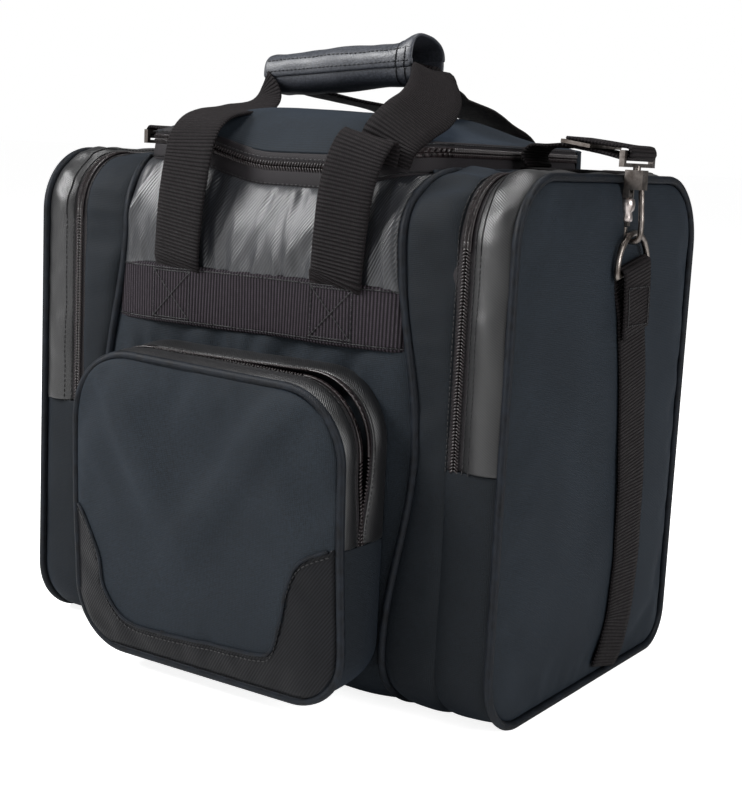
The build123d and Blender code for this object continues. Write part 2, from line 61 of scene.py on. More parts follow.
# Sizes read from the frame
POD_LO, POD_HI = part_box("pod_gussets")
HALF_DEPTH, POD_FLOOR, POD_TOP, GUSSET_X = POD_HI.y, POD_LO.z, POD_HI.z, POD_HI.x
STRIP_X0, STRIP_X1 = [corner.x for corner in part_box("right_cover_strip")]
FOLD_Z, PANEL_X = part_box("right_cover_panel")[0].z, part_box("right_cover_panel")[1].x
ZIP_X = (GUSSET_X + STRIP_X0) / 2
PIPING_R = 2.6 * MM
SEAM_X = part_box("body_piping")[1].x - PIPING_R
OUTER_X = (STRIP_X1 + PANEL_X) / 2 + 0.6 * MM
BAND_Z0, BAND_Z1 = [corner.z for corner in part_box("handle_bands")]
WEB_WIDTH, WEB_THICK = BAND_Z1 - BAND_Z0, 2.2 * MM
RIM_Y = -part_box("lid_panel")[0].y
LID_SIDE, LID_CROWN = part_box("lid_panel")[1].x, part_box("lid_panel")[1].z
POCKET_LO, POCKET_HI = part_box("pocket_lower_gusset")[0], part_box("pocket_front_strip")[1]
POCKET_FACE, POCKET_FOLD_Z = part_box("pocket_cover_panel")[0].y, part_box("pocket_cover_panel")[0].z
POCKET_ZIP_Y = (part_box("pocket_zip_rear")[0].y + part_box("pocket_zip_front")[1].y) / 2
FOOT_FRONT_R, FOOT_REAR_R, CROWN_REAR_R, CROWN_FRONT_R = 38 * MM, 25 * MM, 45 * MM, 40 * MM
POD_OUTLINE = ((-HALF_DEPTH, POD_FLOOR), (HALF_DEPTH, POD_TOP),
               (FOOT_FRONT_R, FOOT_REAR_R, CROWN_REAR_R, CROWN_FRONT_R))


# ------------------------------------------------------------------ small maths

def smooth(t):
    """Smooth step from 0 at t = 0 to 1 at t = 1."""
    t = min(max(t, 0.0), 1.0)
    return t * t * (3 - 2 * t)


def bump_at(t, centre, width):
    """Bell of height 1 around centre."""
    return 1 / (1 + ((t - centre) / width) ** 4)


def wobble(x, y, z, scale, seed=0.0):
    """Smooth noise between about -1 and 1, with features about scale metres across."""
    return noise.noise(Vector((x / scale + seed, y / scale - 2 * seed, z / scale + 3 * seed)))


def crease(x, y, z, scale, seed=0.0):
    """Noise with narrow ridges and broad hollows, as in gathered cloth; from about -1 to 1."""
    return 1 - 3.2 * abs(wobble(x, y, z, scale, seed))


def worked(thing, *at):
    """A size that is either a number or a function of the place."""
    return thing(*at) if callable(thing) else thing


def unit(rows):
    return rows / np.linalg.norm(rows, axis=-1, keepdims=True)


def squared(rows, ahead):
    """Unit vectors nearest to rows that stand square to ahead."""
    return unit(rows - ahead * (rows * ahead).sum(axis=-1, keepdims=True))


def spline(points, step):
    """Catmull-Rom curve through points (rows of numbers), sampled about every step metres."""
    pts = np.array(points, float)
    pts = np.vstack([2 * pts[0] - pts[1], pts, 2 * pts[-1] - pts[-2]])
    rows = []
    for p0, p1, p2, p3 in zip(pts, pts[1:], pts[2:], pts[3:]):
        pieces = max(2, int(np.linalg.norm((p2 - p1)[:3]) / step))
        for t in np.arange(pieces) / pieces:
            rows.append(0.5 * (2 * p1 + (p2 - p0) * t + (2 * p0 - 5 * p1 + 4 * p2 - p3) * t ** 2
                               + (3 * p1 - p0 - 3 * p2 + p3) * t ** 3))
    return np.array(rows + [pts[-2]])


def arc_length(points):
    steps = np.linalg.norm(np.diff(points, axis=0), axis=1)
    return np.concatenate([[0], np.cumsum(steps)])


def resample(points, step):
    """Points evenly spaced along a path, about every step metres."""
    lengths = arc_length(points)
    at = np.linspace(0, lengths[-1], max(2, int(round(lengths[-1] / step)) + 1))
    return np.stack([np.interp(at, lengths, points[:, k]) for k in range(points.shape[1])], axis=1)


def rounded_loop(lo, hi, radii, step=4 * MM, inset=0.0):
    """Closed rounded rectangle in (a, b), anticlockwise from the middle of the low b side.

    Returns the points and the outward normals. The radii run low-low, high-low, high-high, low-high.
    """
    a0, b0, a1, b1 = lo[0] + inset, lo[1] + inset, hi[0] - inset, hi[1] - inset
    r = [max(radius - inset, 0.5 * MM) for radius in radii]
    arcs = [(a1 - r[1], b0 + r[1], r[1], -90), (a1 - r[2], b1 - r[2], r[2], 0),
            (a0 + r[3], b1 - r[3], r[3], 90), (a0 + r[0], b0 + r[0], r[0], 180)]
    rows = [((a0 + a1) / 2, b0, -90.0)]
    for ca, cb, radius, start in arcs:
        pieces = max(3, int(radius * pi / 2 / step))
        for k in range(pieces + 1):
            angle = start + 90 * k / pieces
            rows.append((ca + radius * cos(radians(angle)), cb + radius * sin(radians(angle)), angle))
    rows = np.array(rows + [((a0 + a1) / 2, b0, 270.0)])
    lengths = arc_length(rows[:, :2])
    at = np.linspace(0, lengths[-1], int(lengths[-1] / step) + 1)
    even = np.stack([np.interp(at, lengths, rows[:, k]) for k in range(3)], axis=1)
    angle = np.radians(even[:, 2])
    return even[:, :2], np.stack([np.cos(angle), np.sin(angle)], axis=1)


def part_of_loop(points, normals, z, upper):
    """The stretch of a closed outline above or below height z, cut exactly at z."""
    rows = np.column_stack([points, normals])
    above = np.where(points[:, 1] > z)[0]
    first, last = above[0], above[-1]

    def cut(i, j):
        return rows[i] + (z - rows[i, 1]) / (rows[j, 1] - rows[i, 1]) * (rows[j] - rows[i])

    start, end = cut(first - 1, first), cut(last + 1, last)
    if upper:
        picked = np.vstack([start, rows[first:last + 1], end])
    else:
        picked = np.vstack([end, rows[last + 1:-1], rows[:first], start])
    return picked[:, :2], picked[:, 2:]


def filled_round(lo, hi, radii, step, inset=0.0):
    """(n, m, 2) grid of points that fills a rounded rectangle."""
    a0, b0, a1, b1 = lo[0] + inset, lo[1] + inset, hi[0] - inset, hi[1] - inset
    columns = np.linspace(a0, a1, int((a1 - a0) / step) + 1)
    rows = np.linspace(b0, b1, int((b1 - b0) / step) + 1)
    corner_r = {(-1, -1): radii[0], (1, -1): radii[1], (1, 1): radii[2], (-1, 1): radii[3]}
    out = np.zeros((len(rows), len(columns), 2))
    for i, b in enumerate(rows):
        for j, a in enumerate(columns):
            way_a = 1 if a > (a0 + a1) / 2 else -1
            way_b = 1 if b > (b0 + b1) / 2 else -1
            r = corner_r[way_a, way_b] - inset
            ca = a1 - r if way_a > 0 else a0 + r
            cb = b1 - r if way_b > 0 else b0 + r
            p, q = (a - ca) / r * way_a, (b - cb) / r * way_b
            out[i, j] = (a, b)
            if p > 0 and q > 0:
                round_a, round_b = p * sqrt(1 - q * q / 2), q * sqrt(1 - p * p / 2)
                out[i, j] = (ca + round_a * r * way_a, cb + round_b * r * way_b)
    return out


def seam_shift(y, z):
    """How far the front seams wander from straight, pulled in by the full pods."""
    front = smooth((-y - 80 * MM) / (40 * MM))
    return front * (8 * MM * cos(2 * pi * (z - 165 * MM) / (250 * MM)) - 1.5 * MM)


# ------------------------------------------------------------------ materials

def colour(r, g, b):
    """Linear colour from 0..255 display values."""
    def linear(v):
        v /= 255
        return v / 12.92 if v <= 0.04045 else ((v + 0.055) / 1.055) ** 2.4
    return (linear(r), linear(g), linear(b), 1)


class Nodes:
    """Short way to write a node tree."""

    def __init__(self, name):
        self.material = bpy.data.materials.new(name)
        self.material.use_nodes = True
        self.tree = self.material.node_tree
        self.shader = self.tree.nodes["Principled BSDF"]
        self.place = self.tree.nodes.new("ShaderNodeTexCoord")

    def add(self, kind, **values):
        node = self.tree.nodes.new("ShaderNode" + kind)
        for key, value in values.items():
            if hasattr(node, key):
                setattr(node, key, value)
            else:
                node.inputs[key.replace("_", " ")].default_value = value
        return node

    def feed(self, value, socket):
        """Set a socket to a number or a colour, or link an output into it."""
        if isinstance(value, (int, float, tuple)):
            socket.default_value = value
        else:
            self.tree.links.new(value, socket)

    def wave(self, pitch, angle=0.0):
        """Stripes of the given pitch in metres, running across the UV's first axis turned by angle."""
        turned = self.add("VectorRotate", rotation_type="Z_AXIS", Angle=radians(angle))
        scaled = self.add("VectorMath", operation="SCALE")
        scaled.inputs["Scale"].default_value = 2 * pi / 20 / pitch
        bands = self.add("TexWave", wave_type="BANDS", bands_direction="X", wave_profile="SIN")
        bands.inputs["Scale"].default_value = 1
        self.feed(self.place.outputs["UV"], turned.inputs["Vector"])
        self.feed(turned.outputs["Vector"], scaled.inputs[0])
        self.feed(scaled.outputs["Vector"], bands.inputs["Vector"])
        return bands.outputs["Fac"]

    def grain(self, size, detail=3.0):
        node = self.add("TexNoise", Scale=1 / size, Detail=detail)
        self.feed(self.place.outputs["Object"], node.inputs["Vector"])
        return node.outputs["Fac"]

    def cells(self, size, feature):
        node = self.add("TexVoronoi", feature=feature, Scale=1 / size)
        self.feed(self.place.outputs["Object"], node.inputs["Vector"])
        return node.outputs["Distance"]

    def maths(self, operation, a, b):
        node = self.add("Math", operation=operation)
        self.feed(a, node.inputs[0])
        self.feed(b, node.inputs[1])
        return node.outputs[0]

    def blend(self, fac, low, high):
        """Colour from low to high as fac goes from 0 to 1."""
        node = self.add("Mix", data_type="RGBA")
        self.feed(fac, node.inputs["Factor"])
        self.feed(low, node.inputs[6])
        self.feed(high, node.inputs[7])
        return node.outputs[2]

    def spread(self, fac, low, high, out_low=0.0, out_high=1.0):
        node = self.add("MapRange", From_Min=low, From_Max=high, To_Min=out_low, To_Max=out_high)
        self.feed(fac, node.inputs["Value"])
        return node.outputs["Result"]

    def bump(self, height, distance, strength=1.0):
        node = self.add("Bump", Strength=strength, Distance=distance)
        self.feed(height, node.inputs["Height"])
        self.feed(node.outputs["Normal"], self.shader.inputs["Normal"])

    def finish(self, base, rough, specular=0.5, sheen=0.0, metallic=0.0, sheen_tint=(1, 1, 1, 1)):
        values = {"Base Color": base, "Roughness": rough, "Metallic": metallic,
                  "Specular IOR Level": specular, "Sheen Weight": sheen, "Sheen Roughness": 0.5,
                  "Sheen Tint": sheen_tint}
        for key, value in values.items():
            self.feed(value, self.shader.inputs[key])
        return self.material


def navy_cloth(name, shade=1.0):
    """Fine plain-weave nylon: threads both ways, slubs, and a slow change of tone. A shade below 1 darkens
    all its colours: painted shade.
    """
    n = Nodes(name)

    # Each colour is scaled by shade; below 1 this darkening is painted shade.
    def dye_with_painted_shade(r, g, b):
        return colour(r * shade, g * shade, b * shade)

    threads = n.maths("MULTIPLY", n.wave(1.1 * MM), n.wave(1.1 * MM, 90))
    slub = n.grain(1.6 * MM, 2.0)
    drift = n.grain(60 * MM, 2.0)
    base = n.blend(n.spread(slub, 0.3, 0.7), dye_with_painted_shade(18, 22, 26), dye_with_painted_shade(30, 36, 42))
    base = n.blend(n.spread(threads, 0.0, 0.9, 0.0, 0.45), base, dye_with_painted_shade(39, 46, 54))
    base = n.blend(n.spread(drift, 0.35, 0.65, 0.0, 0.35), base, dye_with_painted_shade(15, 19, 23))
    n.bump(n.maths("ADD", threads, slub), 0.25 * MM, 0.5)
    return n.finish(base, n.spread(slub, 0.2, 0.8, 0.66, 0.84), 0.16, 0.05, 0.0, colour(120, 150, 190))


def twill(name, low, high, gloss, pitch=1.7 * MM, relief=0.6):
    """Diagonal twill; the shiny one has a satin highlight, the dull one shows its ribs."""
    n = Nodes(name)
    ribs = n.wave(pitch, 35)
    fine = n.wave(0.5 * pitch, 125)
    base = n.blend(n.spread(ribs, 0.1, 0.8), low, high)
    base = n.blend(n.spread(n.grain(25 * MM, 2.0), 0.35, 0.7, 0.0, 0.35), base, low)
    n.bump(n.maths("ADD", ribs, n.maths("MULTIPLY", fine, 0.3)), 0.25 * MM, relief)
    return n.finish(base, n.spread(ribs, 0.0, 1.0, 0.44, 0.32), gloss, 0.02)


def webbing(name, low, high, worn):
    """Ribbed brown-black webbing: bold ribs across and fine threads along."""
    n = Nodes(name)
    ribs = n.wave(2.3 * MM)
    threads = n.wave(1.2 * MM, 90)
    fuzz = n.grain(2.5 * MM, 4.0)
    height = n.maths("ADD", ribs, n.maths("MULTIPLY", n.maths("MULTIPLY", threads, ribs), 0.5))
    base = n.blend(n.spread(height, 0.1, 1.2), low, high)
    base = n.blend(n.spread(fuzz, 0.35, 0.75, 0.0, 0.4), base, worn)
    n.bump(height, 0.8 * MM, 0.8)
    return n.finish(base, n.spread(fuzz, 0.2, 0.8, 0.55, 0.75), 0.12, 0.03, 0.0, colour(150, 130, 130))


def zip_tape():
    """Woven tape with a herringbone, brown black."""
    n = Nodes("zip_tape")
    weave = n.maths("MAXIMUM", n.wave(1.1 * MM, 40), n.wave(1.1 * MM, -40))
    base = n.blend(n.spread(weave, 0.3, 1.0), colour(11, 9, 11), colour(30, 26, 30))
    base = n.blend(n.spread(n.grain(3 * MM), 0.4, 0.7, 0.0, 0.35), base, colour(20, 16, 18))
    n.bump(weave, 0.3 * MM, 0.5)
    return n.finish(base, 0.6, 0.22, 0.03)


def piping_cloth():
    """Satin-covered cord, almost black, with slight creases along it."""
    n = Nodes("piping_cloth")
    folds = n.grain(5 * MM)
    base = n.blend(n.spread(folds, 0.3, 0.7), colour(9, 11, 15), colour(22, 27, 34))
    n.bump(n.maths("ADD", n.maths("MULTIPLY", n.wave(0.9 * MM, 45), 0.4), folds), 0.5 * MM, 0.5)
    return n.finish(base, n.spread(folds, 0.3, 0.7, 0.44, 0.6), 0.16)


def lining():
    """Black quilted lining and inside faces."""
    n = Nodes("lining")
    base = n.blend(n.spread(n.grain(1.5 * MM), 0.3, 0.7), colour(7, 8, 9), colour(16, 17, 19))
    n.bump(n.maths("MAXIMUM", n.wave(1.4 * MM), n.wave(1.4 * MM, 90)), 0.3 * MM, 0.5)
    return n.finish(base, 0.75, 0.3, 0.1)


def leathercloth():
    """Pebbled blue-grey leathercloth, its colour darkening from each pebble's top into the hollows around
    it: painted shade.
    """
    n = Nodes("leathercloth")
    pebble = n.cells(1.2 * MM, "SMOOTH_F1")
    drift = n.grain(22 * MM)
    # Painted shade: the hollows between the pebbles darker, the pebbles' tops lighter.
    base = n.blend(n.spread(pebble, 0.05, 0.6), colour(66, 69, 77), colour(34, 37, 43))
    base = n.blend(n.spread(drift, 0.35, 0.7, 0.0, 0.45), base, colour(48, 50, 57))
    n.bump(n.maths("SUBTRACT", 1.0, pebble), 0.3 * MM, 0.4)
    return n.finish(base, n.spread(drift, 0.3, 0.7, 0.42, 0.54), 0.5)


def nickel_plate(name, low, high):
    """Dark nickel plate, rubbed bright in places."""
    n = Nodes(name)
    wear = n.grain(6 * MM, 5.0)
    n.bump(n.grain(0.7 * MM, 2.0), 0.05 * MM, 0.25)
    rough = n.spread(wear, 0.3, 0.7, 0.4, 0.26)
    return n.finish(n.blend(n.spread(wear, 0.35, 0.65), low, high), rough, 0.5, 0.0, 1.0)


def foam():
    """Charcoal closed-cell foam."""
    n = Nodes("foam")
    cells = n.cells(1.2 * MM, "F1")
    n.bump(cells, 0.5 * MM, 0.6)
    return n.finish(n.blend(n.spread(cells, 0.1, 0.7), colour(30, 31, 34), colour(56, 58, 63)), 0.85, 0.25)


def mottled(name, size, detail, span, low, high, relief, *surface):
    """Two-tone solid. span is where the noise turns, relief the bump's distance and strength."""
    n = Nodes(name)
    grain = n.grain(size, detail)
    n.bump(grain, *relief)
    return n.finish(n.blend(n.spread(grain, *span), low, high), *surface)


MAT = {
    "board": mottled("board", 2.2 * MM, 5.0, (0.35, 0.7), colour(88, 84, 78), colour(122, 116, 108),
                     (0.2 * MM, 0.4), 0.85, 0.2),
    "navy": navy_cloth("navy_cloth"),
    # Darker copy of the navy cloth for the pod and pocket gussets: painted shade.
    "shaded_navy": navy_cloth("shaded_navy_cloth", 0.72),
    "tape": zip_tape(),
    "coil": mottled("coil_plastic", 2 * MM, 2.0, (0.3, 0.7), colour(20, 15, 16), colour(46, 38, 39),
                    (0.1 * MM, 0.3), 0.36, 0.5),
    "twill": twill("satin_twill", colour(12, 13, 16), colour(34, 37, 43), 0.7),
    # Darker copy of the satin twill for the pod and pocket strips: painted shade.
    "strip_twill": twill("strip_twill", colour(3, 3, 4), colour(14, 15, 18), 0.7, 1.2 * MM, 0.4),
    # Darker, duller copy of the satin twill for the pocket's patch: its low gloss is the cloth's own, its
    # dark colour is painted shade.
    "dull_twill": twill("dull_twill", colour(5, 5, 7), colour(19, 20, 24), 0.12),
    "webbing": webbing("webbing", colour(5, 4, 5), colour(26, 22, 24), colour(13, 11, 12)),
    "band": webbing("band_webbing", colour(12, 10, 12), colour(58, 52, 59), colour(30, 26, 30)),
    "piping": piping_cloth(),
    "lining": lining(),
    "leather": leathercloth(),
    "metal": nickel_plate("gunmetal", colour(84, 76, 71), colour(150, 143, 138)),
    # Much lighter copy of the hook's metal for the gate sleeve: partly the plating, partly a painted
    # highlight.
    "nickel": nickel_plate("worn_nickel", colour(170, 160, 156), colour(226, 216, 214)),
    "slider": mottled("black_metal", 4 * MM, 4.0, (0.55, 0.75), colour(28, 27, 29), colour(84, 80, 80),
                      (0.05 * MM, 0.3), 0.35, 0.5, 0.0, 0.6),
    "foam": foam(),
    "thread": mottled("dark_thread", 0.8 * MM, 2.0, (0.3, 0.7), colour(8, 8, 10), colour(18, 18, 21),
                      (0.15 * MM, 0.5), 0.5, 0.45),
    "grey_thread": mottled("grey_thread", 0.8 * MM, 2.0, (0.3, 0.7), colour(20, 21, 25), colour(44, 46, 52),
                           (0.15 * MM, 0.5), 0.5, 0.45),
}


# ------------------------------------------------------------------ mesh tools

def make_object(name, verts, faces, look, uvs=None):
    """Smooth mesh of one look; uvs gives each vertex its place on the cloth, in metres."""
    mesh = bpy.data.meshes.new(name)
    mesh.from_pydata([tuple(v) for v in verts], [], faces)
    if uvs is not None:
        corners = [uvs[index] for face in faces for index in face]
        layer = mesh.uv_layers.new(name="UVMap")
        layer.data.foreach_set("uv", np.asarray(corners, np.float32).ravel())
    mesh.materials.append(MAT[look])
    mesh.polygons.foreach_set("use_smooth", [True] * len(mesh.polygons))
    obj = bpy.data.objects.new(name, mesh)
    bpy.context.scene.collection.objects.link(obj)
    obj["look"] = look
    return obj


def sheet(name, rows, columns, at, look, inside=(0, 0, 0.15), weld=False):
    """Sheet of rows by columns points, its faces turned from inside. at(i, j) gives a point and its UV."""
    cells = [at(i, j) for i in range(rows) for j in range(columns)]
    points = np.array([cell[0] for cell in cells], float)
    faces = [(i * columns + j, (i + 1) * columns + j, (i + 1) * columns + j + 1, i * columns + j + 1)
             for i in range(rows - 1) for j in range(columns - 1)]
    corners = points[np.array(faces)]
    normal = np.cross(corners[:, 2] - corners[:, 0], corners[:, 3] - corners[:, 1])
    if (normal * (corners.mean(axis=1) - np.array(inside))).sum() < 0:
        faces = [face[::-1] for face in faces]
    obj = make_object(name, points, faces, look, [cell[1] for cell in cells])
    if weld:
        work = bmesh.new()
        work.from_mesh(obj.data)
        bmesh.ops.remove_doubles(work, verts=work.verts, dist=0.02 * MM)
        work.to_mesh(obj.data)
        work.free()
    return obj


def settle(obj, body, nodes=(), thick=0.0, smoothing=0, blend_to=None):
    """Give a piece its thickness, apply it, and hang it on its body; with blend_to it is only baked where it
    stands and hung on no body.
    """
    if thick:
        solid = obj.modifiers.new("thick", "SOLIDIFY")
        solid.thickness = thick
        solid.offset = -1
        solid.use_even_offset = True
        if obj["look"] in ("navy", "shaded_navy", "twill", "strip_twill", "dull_twill"):
            obj.data.materials.append(MAT["lining"])
            solid.material_offset = 1
    if smoothing:
        rounding = obj.modifiers.new("round", "SUBSURF")
        rounding.levels = rounding.render_levels = smoothing
    if thick or smoothing:
        apply_modifiers(obj)
    for vertex in obj.data.vertices:
        vertex.co.z = max(vertex.co.z, 0.0)
    if nodes:
        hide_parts(*nodes)
    if blend_to:
        other, start, end = blend_to
        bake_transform(obj)
        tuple(start)
        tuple(end)
    else:
        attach(obj, body)
    return obj


def apply_modifiers(obj):
    bpy.context.view_layer.update()
    graph = bpy.context.evaluated_depsgraph_get()
    mesh = bpy.data.meshes.new_from_object(obj.evaluated_get(graph), depsgraph=graph)
    obj.modifiers.clear()
    obj.data = mesh
    mesh.polygons.foreach_set("use_smooth", [True] * len(mesh.polygons))


def ring_faces(count, sides, closed=False):
    """Faces of a pipe of count rings with sides points each, capped unless it closes on itself."""
    faces = []
    for i in range(count if closed else count - 1):
        here, there = i * sides, (i + 1) % count * sides
        for k in range(sides):
            after = (k + 1) % sides
            faces.append((here + k, here + after, there + after, there + k))
    if not closed:
        faces.append(tuple(range(sides - 1, -1, -1)))
        faces.append(tuple((count - 1) * sides + k for k in range(sides)))
    return faces


def tube(name, path, radius, closed=False, sides=10):
    """Round piping cord along a path, its ends closed."""
    path = np.asarray(path, float)
    ahead = np.roll(path, -1, axis=0) - np.roll(path, 1, axis=0)
    if not closed:
        ahead[0], ahead[-1] = path[1] - path[0], path[-1] - path[-2]
    ahead = unit(ahead)
    side = np.cross(ahead[0], (0.31, 0.17, 0.93))
    rows, uvs, lengths = [], [], arc_length(path)
    for i in range(len(path)):
        side = squared(side, ahead[i])
        up = np.cross(ahead[i], side)
        for k in range(sides):
            angle = 2 * pi * k / sides
            rows.append(path[i] + radius * (cos(angle) * side + sin(angle) * up))
            uvs.append((lengths[i], radius * angle))
    return make_object(name, rows, ring_faces(len(path), sides, closed), "piping", uvs)


def ribbon(name, stations, look="webbing", width=WEB_WIDTH, step=3 * MM, columns=6):
    """Webbing through stations of (point, side): side is the way its width runs.

    A station may add the share of the width left where the webbing is folded together.
    Its edges are rounded and its faces carry UVs in metres, along and across.
    """
    rows = spline([[*station[0], *station[1], *(station[2:] or (1.0,))] for station in stations], step)
    points, share = rows[:, :3], rows[:, 6]
    ahead = unit(np.gradient(points, axis=0))
    sides = squared(rows[:, 3:6], ahead)
    normals = np.cross(ahead, sides)
    across = np.linspace(-1, 1, columns + 1) * (width / 2 - WEB_THICK / 2)
    section = [(a, WEB_THICK / 2) for a in across] + [(width / 2, 0)]
    section += [(a, -WEB_THICK / 2) for a in across[::-1]] + [(-width / 2, 0)]
    lengths = arc_length(points)
    verts = [point + a * part * side + b * normal
             for point, part, side, normal in zip(points, share, sides, normals) for a, b in section]
    uvs = [(length, a) for length in lengths for a, _ in section]
    return make_object(name, verts, ring_faces(len(points), len(section)), look, uvs)


def capsule(length, wide, high, sides=6):
    """Rounded bar along its first axis, as its points and faces."""
    rings = [(-0.5, 0.35), (-0.38, 1.0), (0.38, 1.0), (0.5, 0.35)]
    angles = [2 * pi * k / sides for k in range(sides)]
    verts = [(along * length, swell * wide / 2 * cos(angle), swell * high / 2 * sin(angle))
             for along, swell in rings for angle in angles]
    return np.array(verts), ring_faces(len(rings), sides)


def scatter(name, places, look, shape):
    """One mesh of many copies of a small shape; each place is (centre, ahead, side, up)."""
    shape_verts, shape_faces = shape
    verts, faces = [], []
    for centre, *axes in places:
        base = len(verts)
        verts.extend(np.asarray(centre) + shape_verts @ np.stack(axes))
        faces.extend([tuple(base + i for i in face) for face in shape_faces])
    return make_object(name, verts, faces, look)


def path_frames(path, normals, step):
    """Evenly spaced (centre, ahead, side, up) along a path whose surface normals are given."""
    rows = resample(np.column_stack([path, normals]), step)
    points = rows[:, :3]
    ahead = unit(np.gradient(points, axis=0))
    ups = squared(rows[:, 3:], ahead)
    return list(zip(points, ahead, np.cross(ups, ahead), ups))


def stitches(name, path, normals, body, look="thread", lift=0.2 * MM, blend_to=None):
    """Row of stitches along a path on a surface."""
    pitch = 3.4 * MM
    shape = capsule(pitch * 0.7, 0.75 * MM, 0.6 * MM)
    places = [(c + lift * u, a, s, u) for c, a, s, u in path_frames(path, normals, pitch)]
    return settle(scatter(name, places, look, shape), body, blend_to=blend_to)


def coil_row(name, path, normals, toward, body, pitch=1.9 * MM):
    """Half of a zip's coil, as slanted bars. toward gives the axis across the zip and this half's side."""
    places = []
    slant = radians(32)
    for centre, ahead, side, up in path_frames(path, normals, pitch):
        out = side * toward
        bar = out * cos(slant) + ahead * sin(slant)
        places.append((centre + out * 1.5 * MM + up * 0.5 * MM, bar, np.cross(up, bar), up))
    return settle(scatter(name, places, "coil", capsule(3.2 * MM, 1.15 * MM, 1.5 * MM)), body)


def skin_of(obj):
    """Search tree of a finished piece, for laying other pieces on it."""
    mesh = obj.data
    return BVHTree.FromPolygons([v.co for v in mesh.vertices], [p.vertices for p in mesh.polygons])


def on_skin(tree, start, aim, fallback, lift=0.0):
    """Where a ray meets a piece, raised by lift off it, with the surface normal."""
    aim = Vector(aim)
    hit, normal, _, _ = tree.ray_cast(Vector(start), aim)
    if hit is None:
        return Vector(fallback), -aim
    if normal.dot(aim) > 0:
        normal = -normal
    return hit - aim * lift, normal


def seam(name, skin, starts, aim, reach, body):
    """Row of stitches where rays from the starts meet a piece, or at reach along the ray where they miss."""
    hits = [on_skin(skin, start, aim, Vector(start) + Vector(aim) * reach, 0.1 * MM) for start in starts]
    stitches(name, np.array([hit[0] for hit in hits]), np.array([hit[1] for hit in hits]), body)


def bevel_cad(node, look):
    """A hard CAD piece keeps its shape and gets a finish and slightly broken edges."""
    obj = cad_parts[node]
    for slot in obj.material_slots:
        slot.material = MAT[look]
    if not obj.material_slots:
        obj.data.materials.append(MAT[look])
    edge = obj.modifiers.new("edge", "BEVEL")
    edge.width = 0.35 * MM
    edge.segments = 2
    edge.limit_method = "ANGLE"
    edge.angle_limit = radians(40)


def puff(obj, n, m, pressure, cap, grow):
    """Blow an (n, m) sheet out between its sewn edges with a cloth simulation, then keep the shape."""
    frames = 16
    rest = np.array([v.co for v in obj.data.vertices], float)
    sewn = [i * m + j for i in range(n) for j in range(m) if i in (0, n - 1) or j in (0, m - 1)]
    group = obj.vertex_groups.new(name="sewn")
    group.add(sewn, 1.0, "REPLACE")
    cloth = obj.modifiers.new("cloth", "CLOTH")
    wanted = {"quality": 6, "mass": 0.25, "tension_stiffness": 8.0, "compression_stiffness": 8.0,
              "shear_stiffness": 4.0, "bending_stiffness": 0.6, "vertex_group_mass": "sewn",
              "pin_stiffness": 1.0, "use_pressure": True, "uniform_pressure_force": pressure,
              "shrink_min": -grow}
    for key, value in wanted.items():
        setattr(cloth.settings, key, value)
    cloth.settings.effector_weights.gravity = 0
    cloth.collision_settings.use_collision = False
    cloth.point_cache.frame_start = 1
    cloth.point_cache.frame_end = frames
    for step in range(1, frames + 1):
        bpy.context.scene.frame_set(step)
    graph = bpy.context.evaluated_depsgraph_get()
    move = np.array([v.co for v in obj.evaluated_get(graph).data.vertices], float) - rest
    length = np.linalg.norm(move, axis=1)[:, None]
    move *= np.minimum(1.0, cap / np.maximum(length, 1e-9))
    obj.modifiers.remove(cloth)
    obj.vertex_groups.remove(group)
    obj.data.vertices.foreach_set("co", (rest + move).ravel())
    obj.data.update()
    bpy.context.scene.frame_set(1)


def fold_at(body, z, reach=14 * MM):
    """The blend_to for a body across the height z, over reach to both sides; settle only bakes a piece given
    it.
    """
    return body, (0, 0, z - reach), (0, 0, z + reach)


# ------------------------------------------------------------------ shoe pods

ZIP_SHOWN = 4.0 * MM
CLOTH = 1.6 * MM


def ring_sheet(name, sign, loop, x_low, x_high, rise, look, body, node, columns, weld=False):
    """Strip of gusset along a pod's outline. x_low, x_high and rise may be functions of (t, y, z)."""
    points, normals = loop
    lengths = arc_length(points)

    def at(i, j):
        (y, z), (ny, nz), t = points[i], normals[i], j / columns
        x0, x1 = worked(x_low, 0, y, z), worked(x_high, 1, y, z)
        x = x0 + (x1 - x0) * t
        off = worked(rise, t, y, z)
        return (sign * x, y + ny * off, z + nz * off), (lengths[i], x)

    strip = sheet(name, len(points), columns + 1, at, look, (sign * ZIP_X, 0, 0.16), weld)
    if look == "tape":
        return settle(strip, body, [node], thick=0.9 * MM)
    return settle(strip, body, [node], thick=CLOTH, smoothing=1)


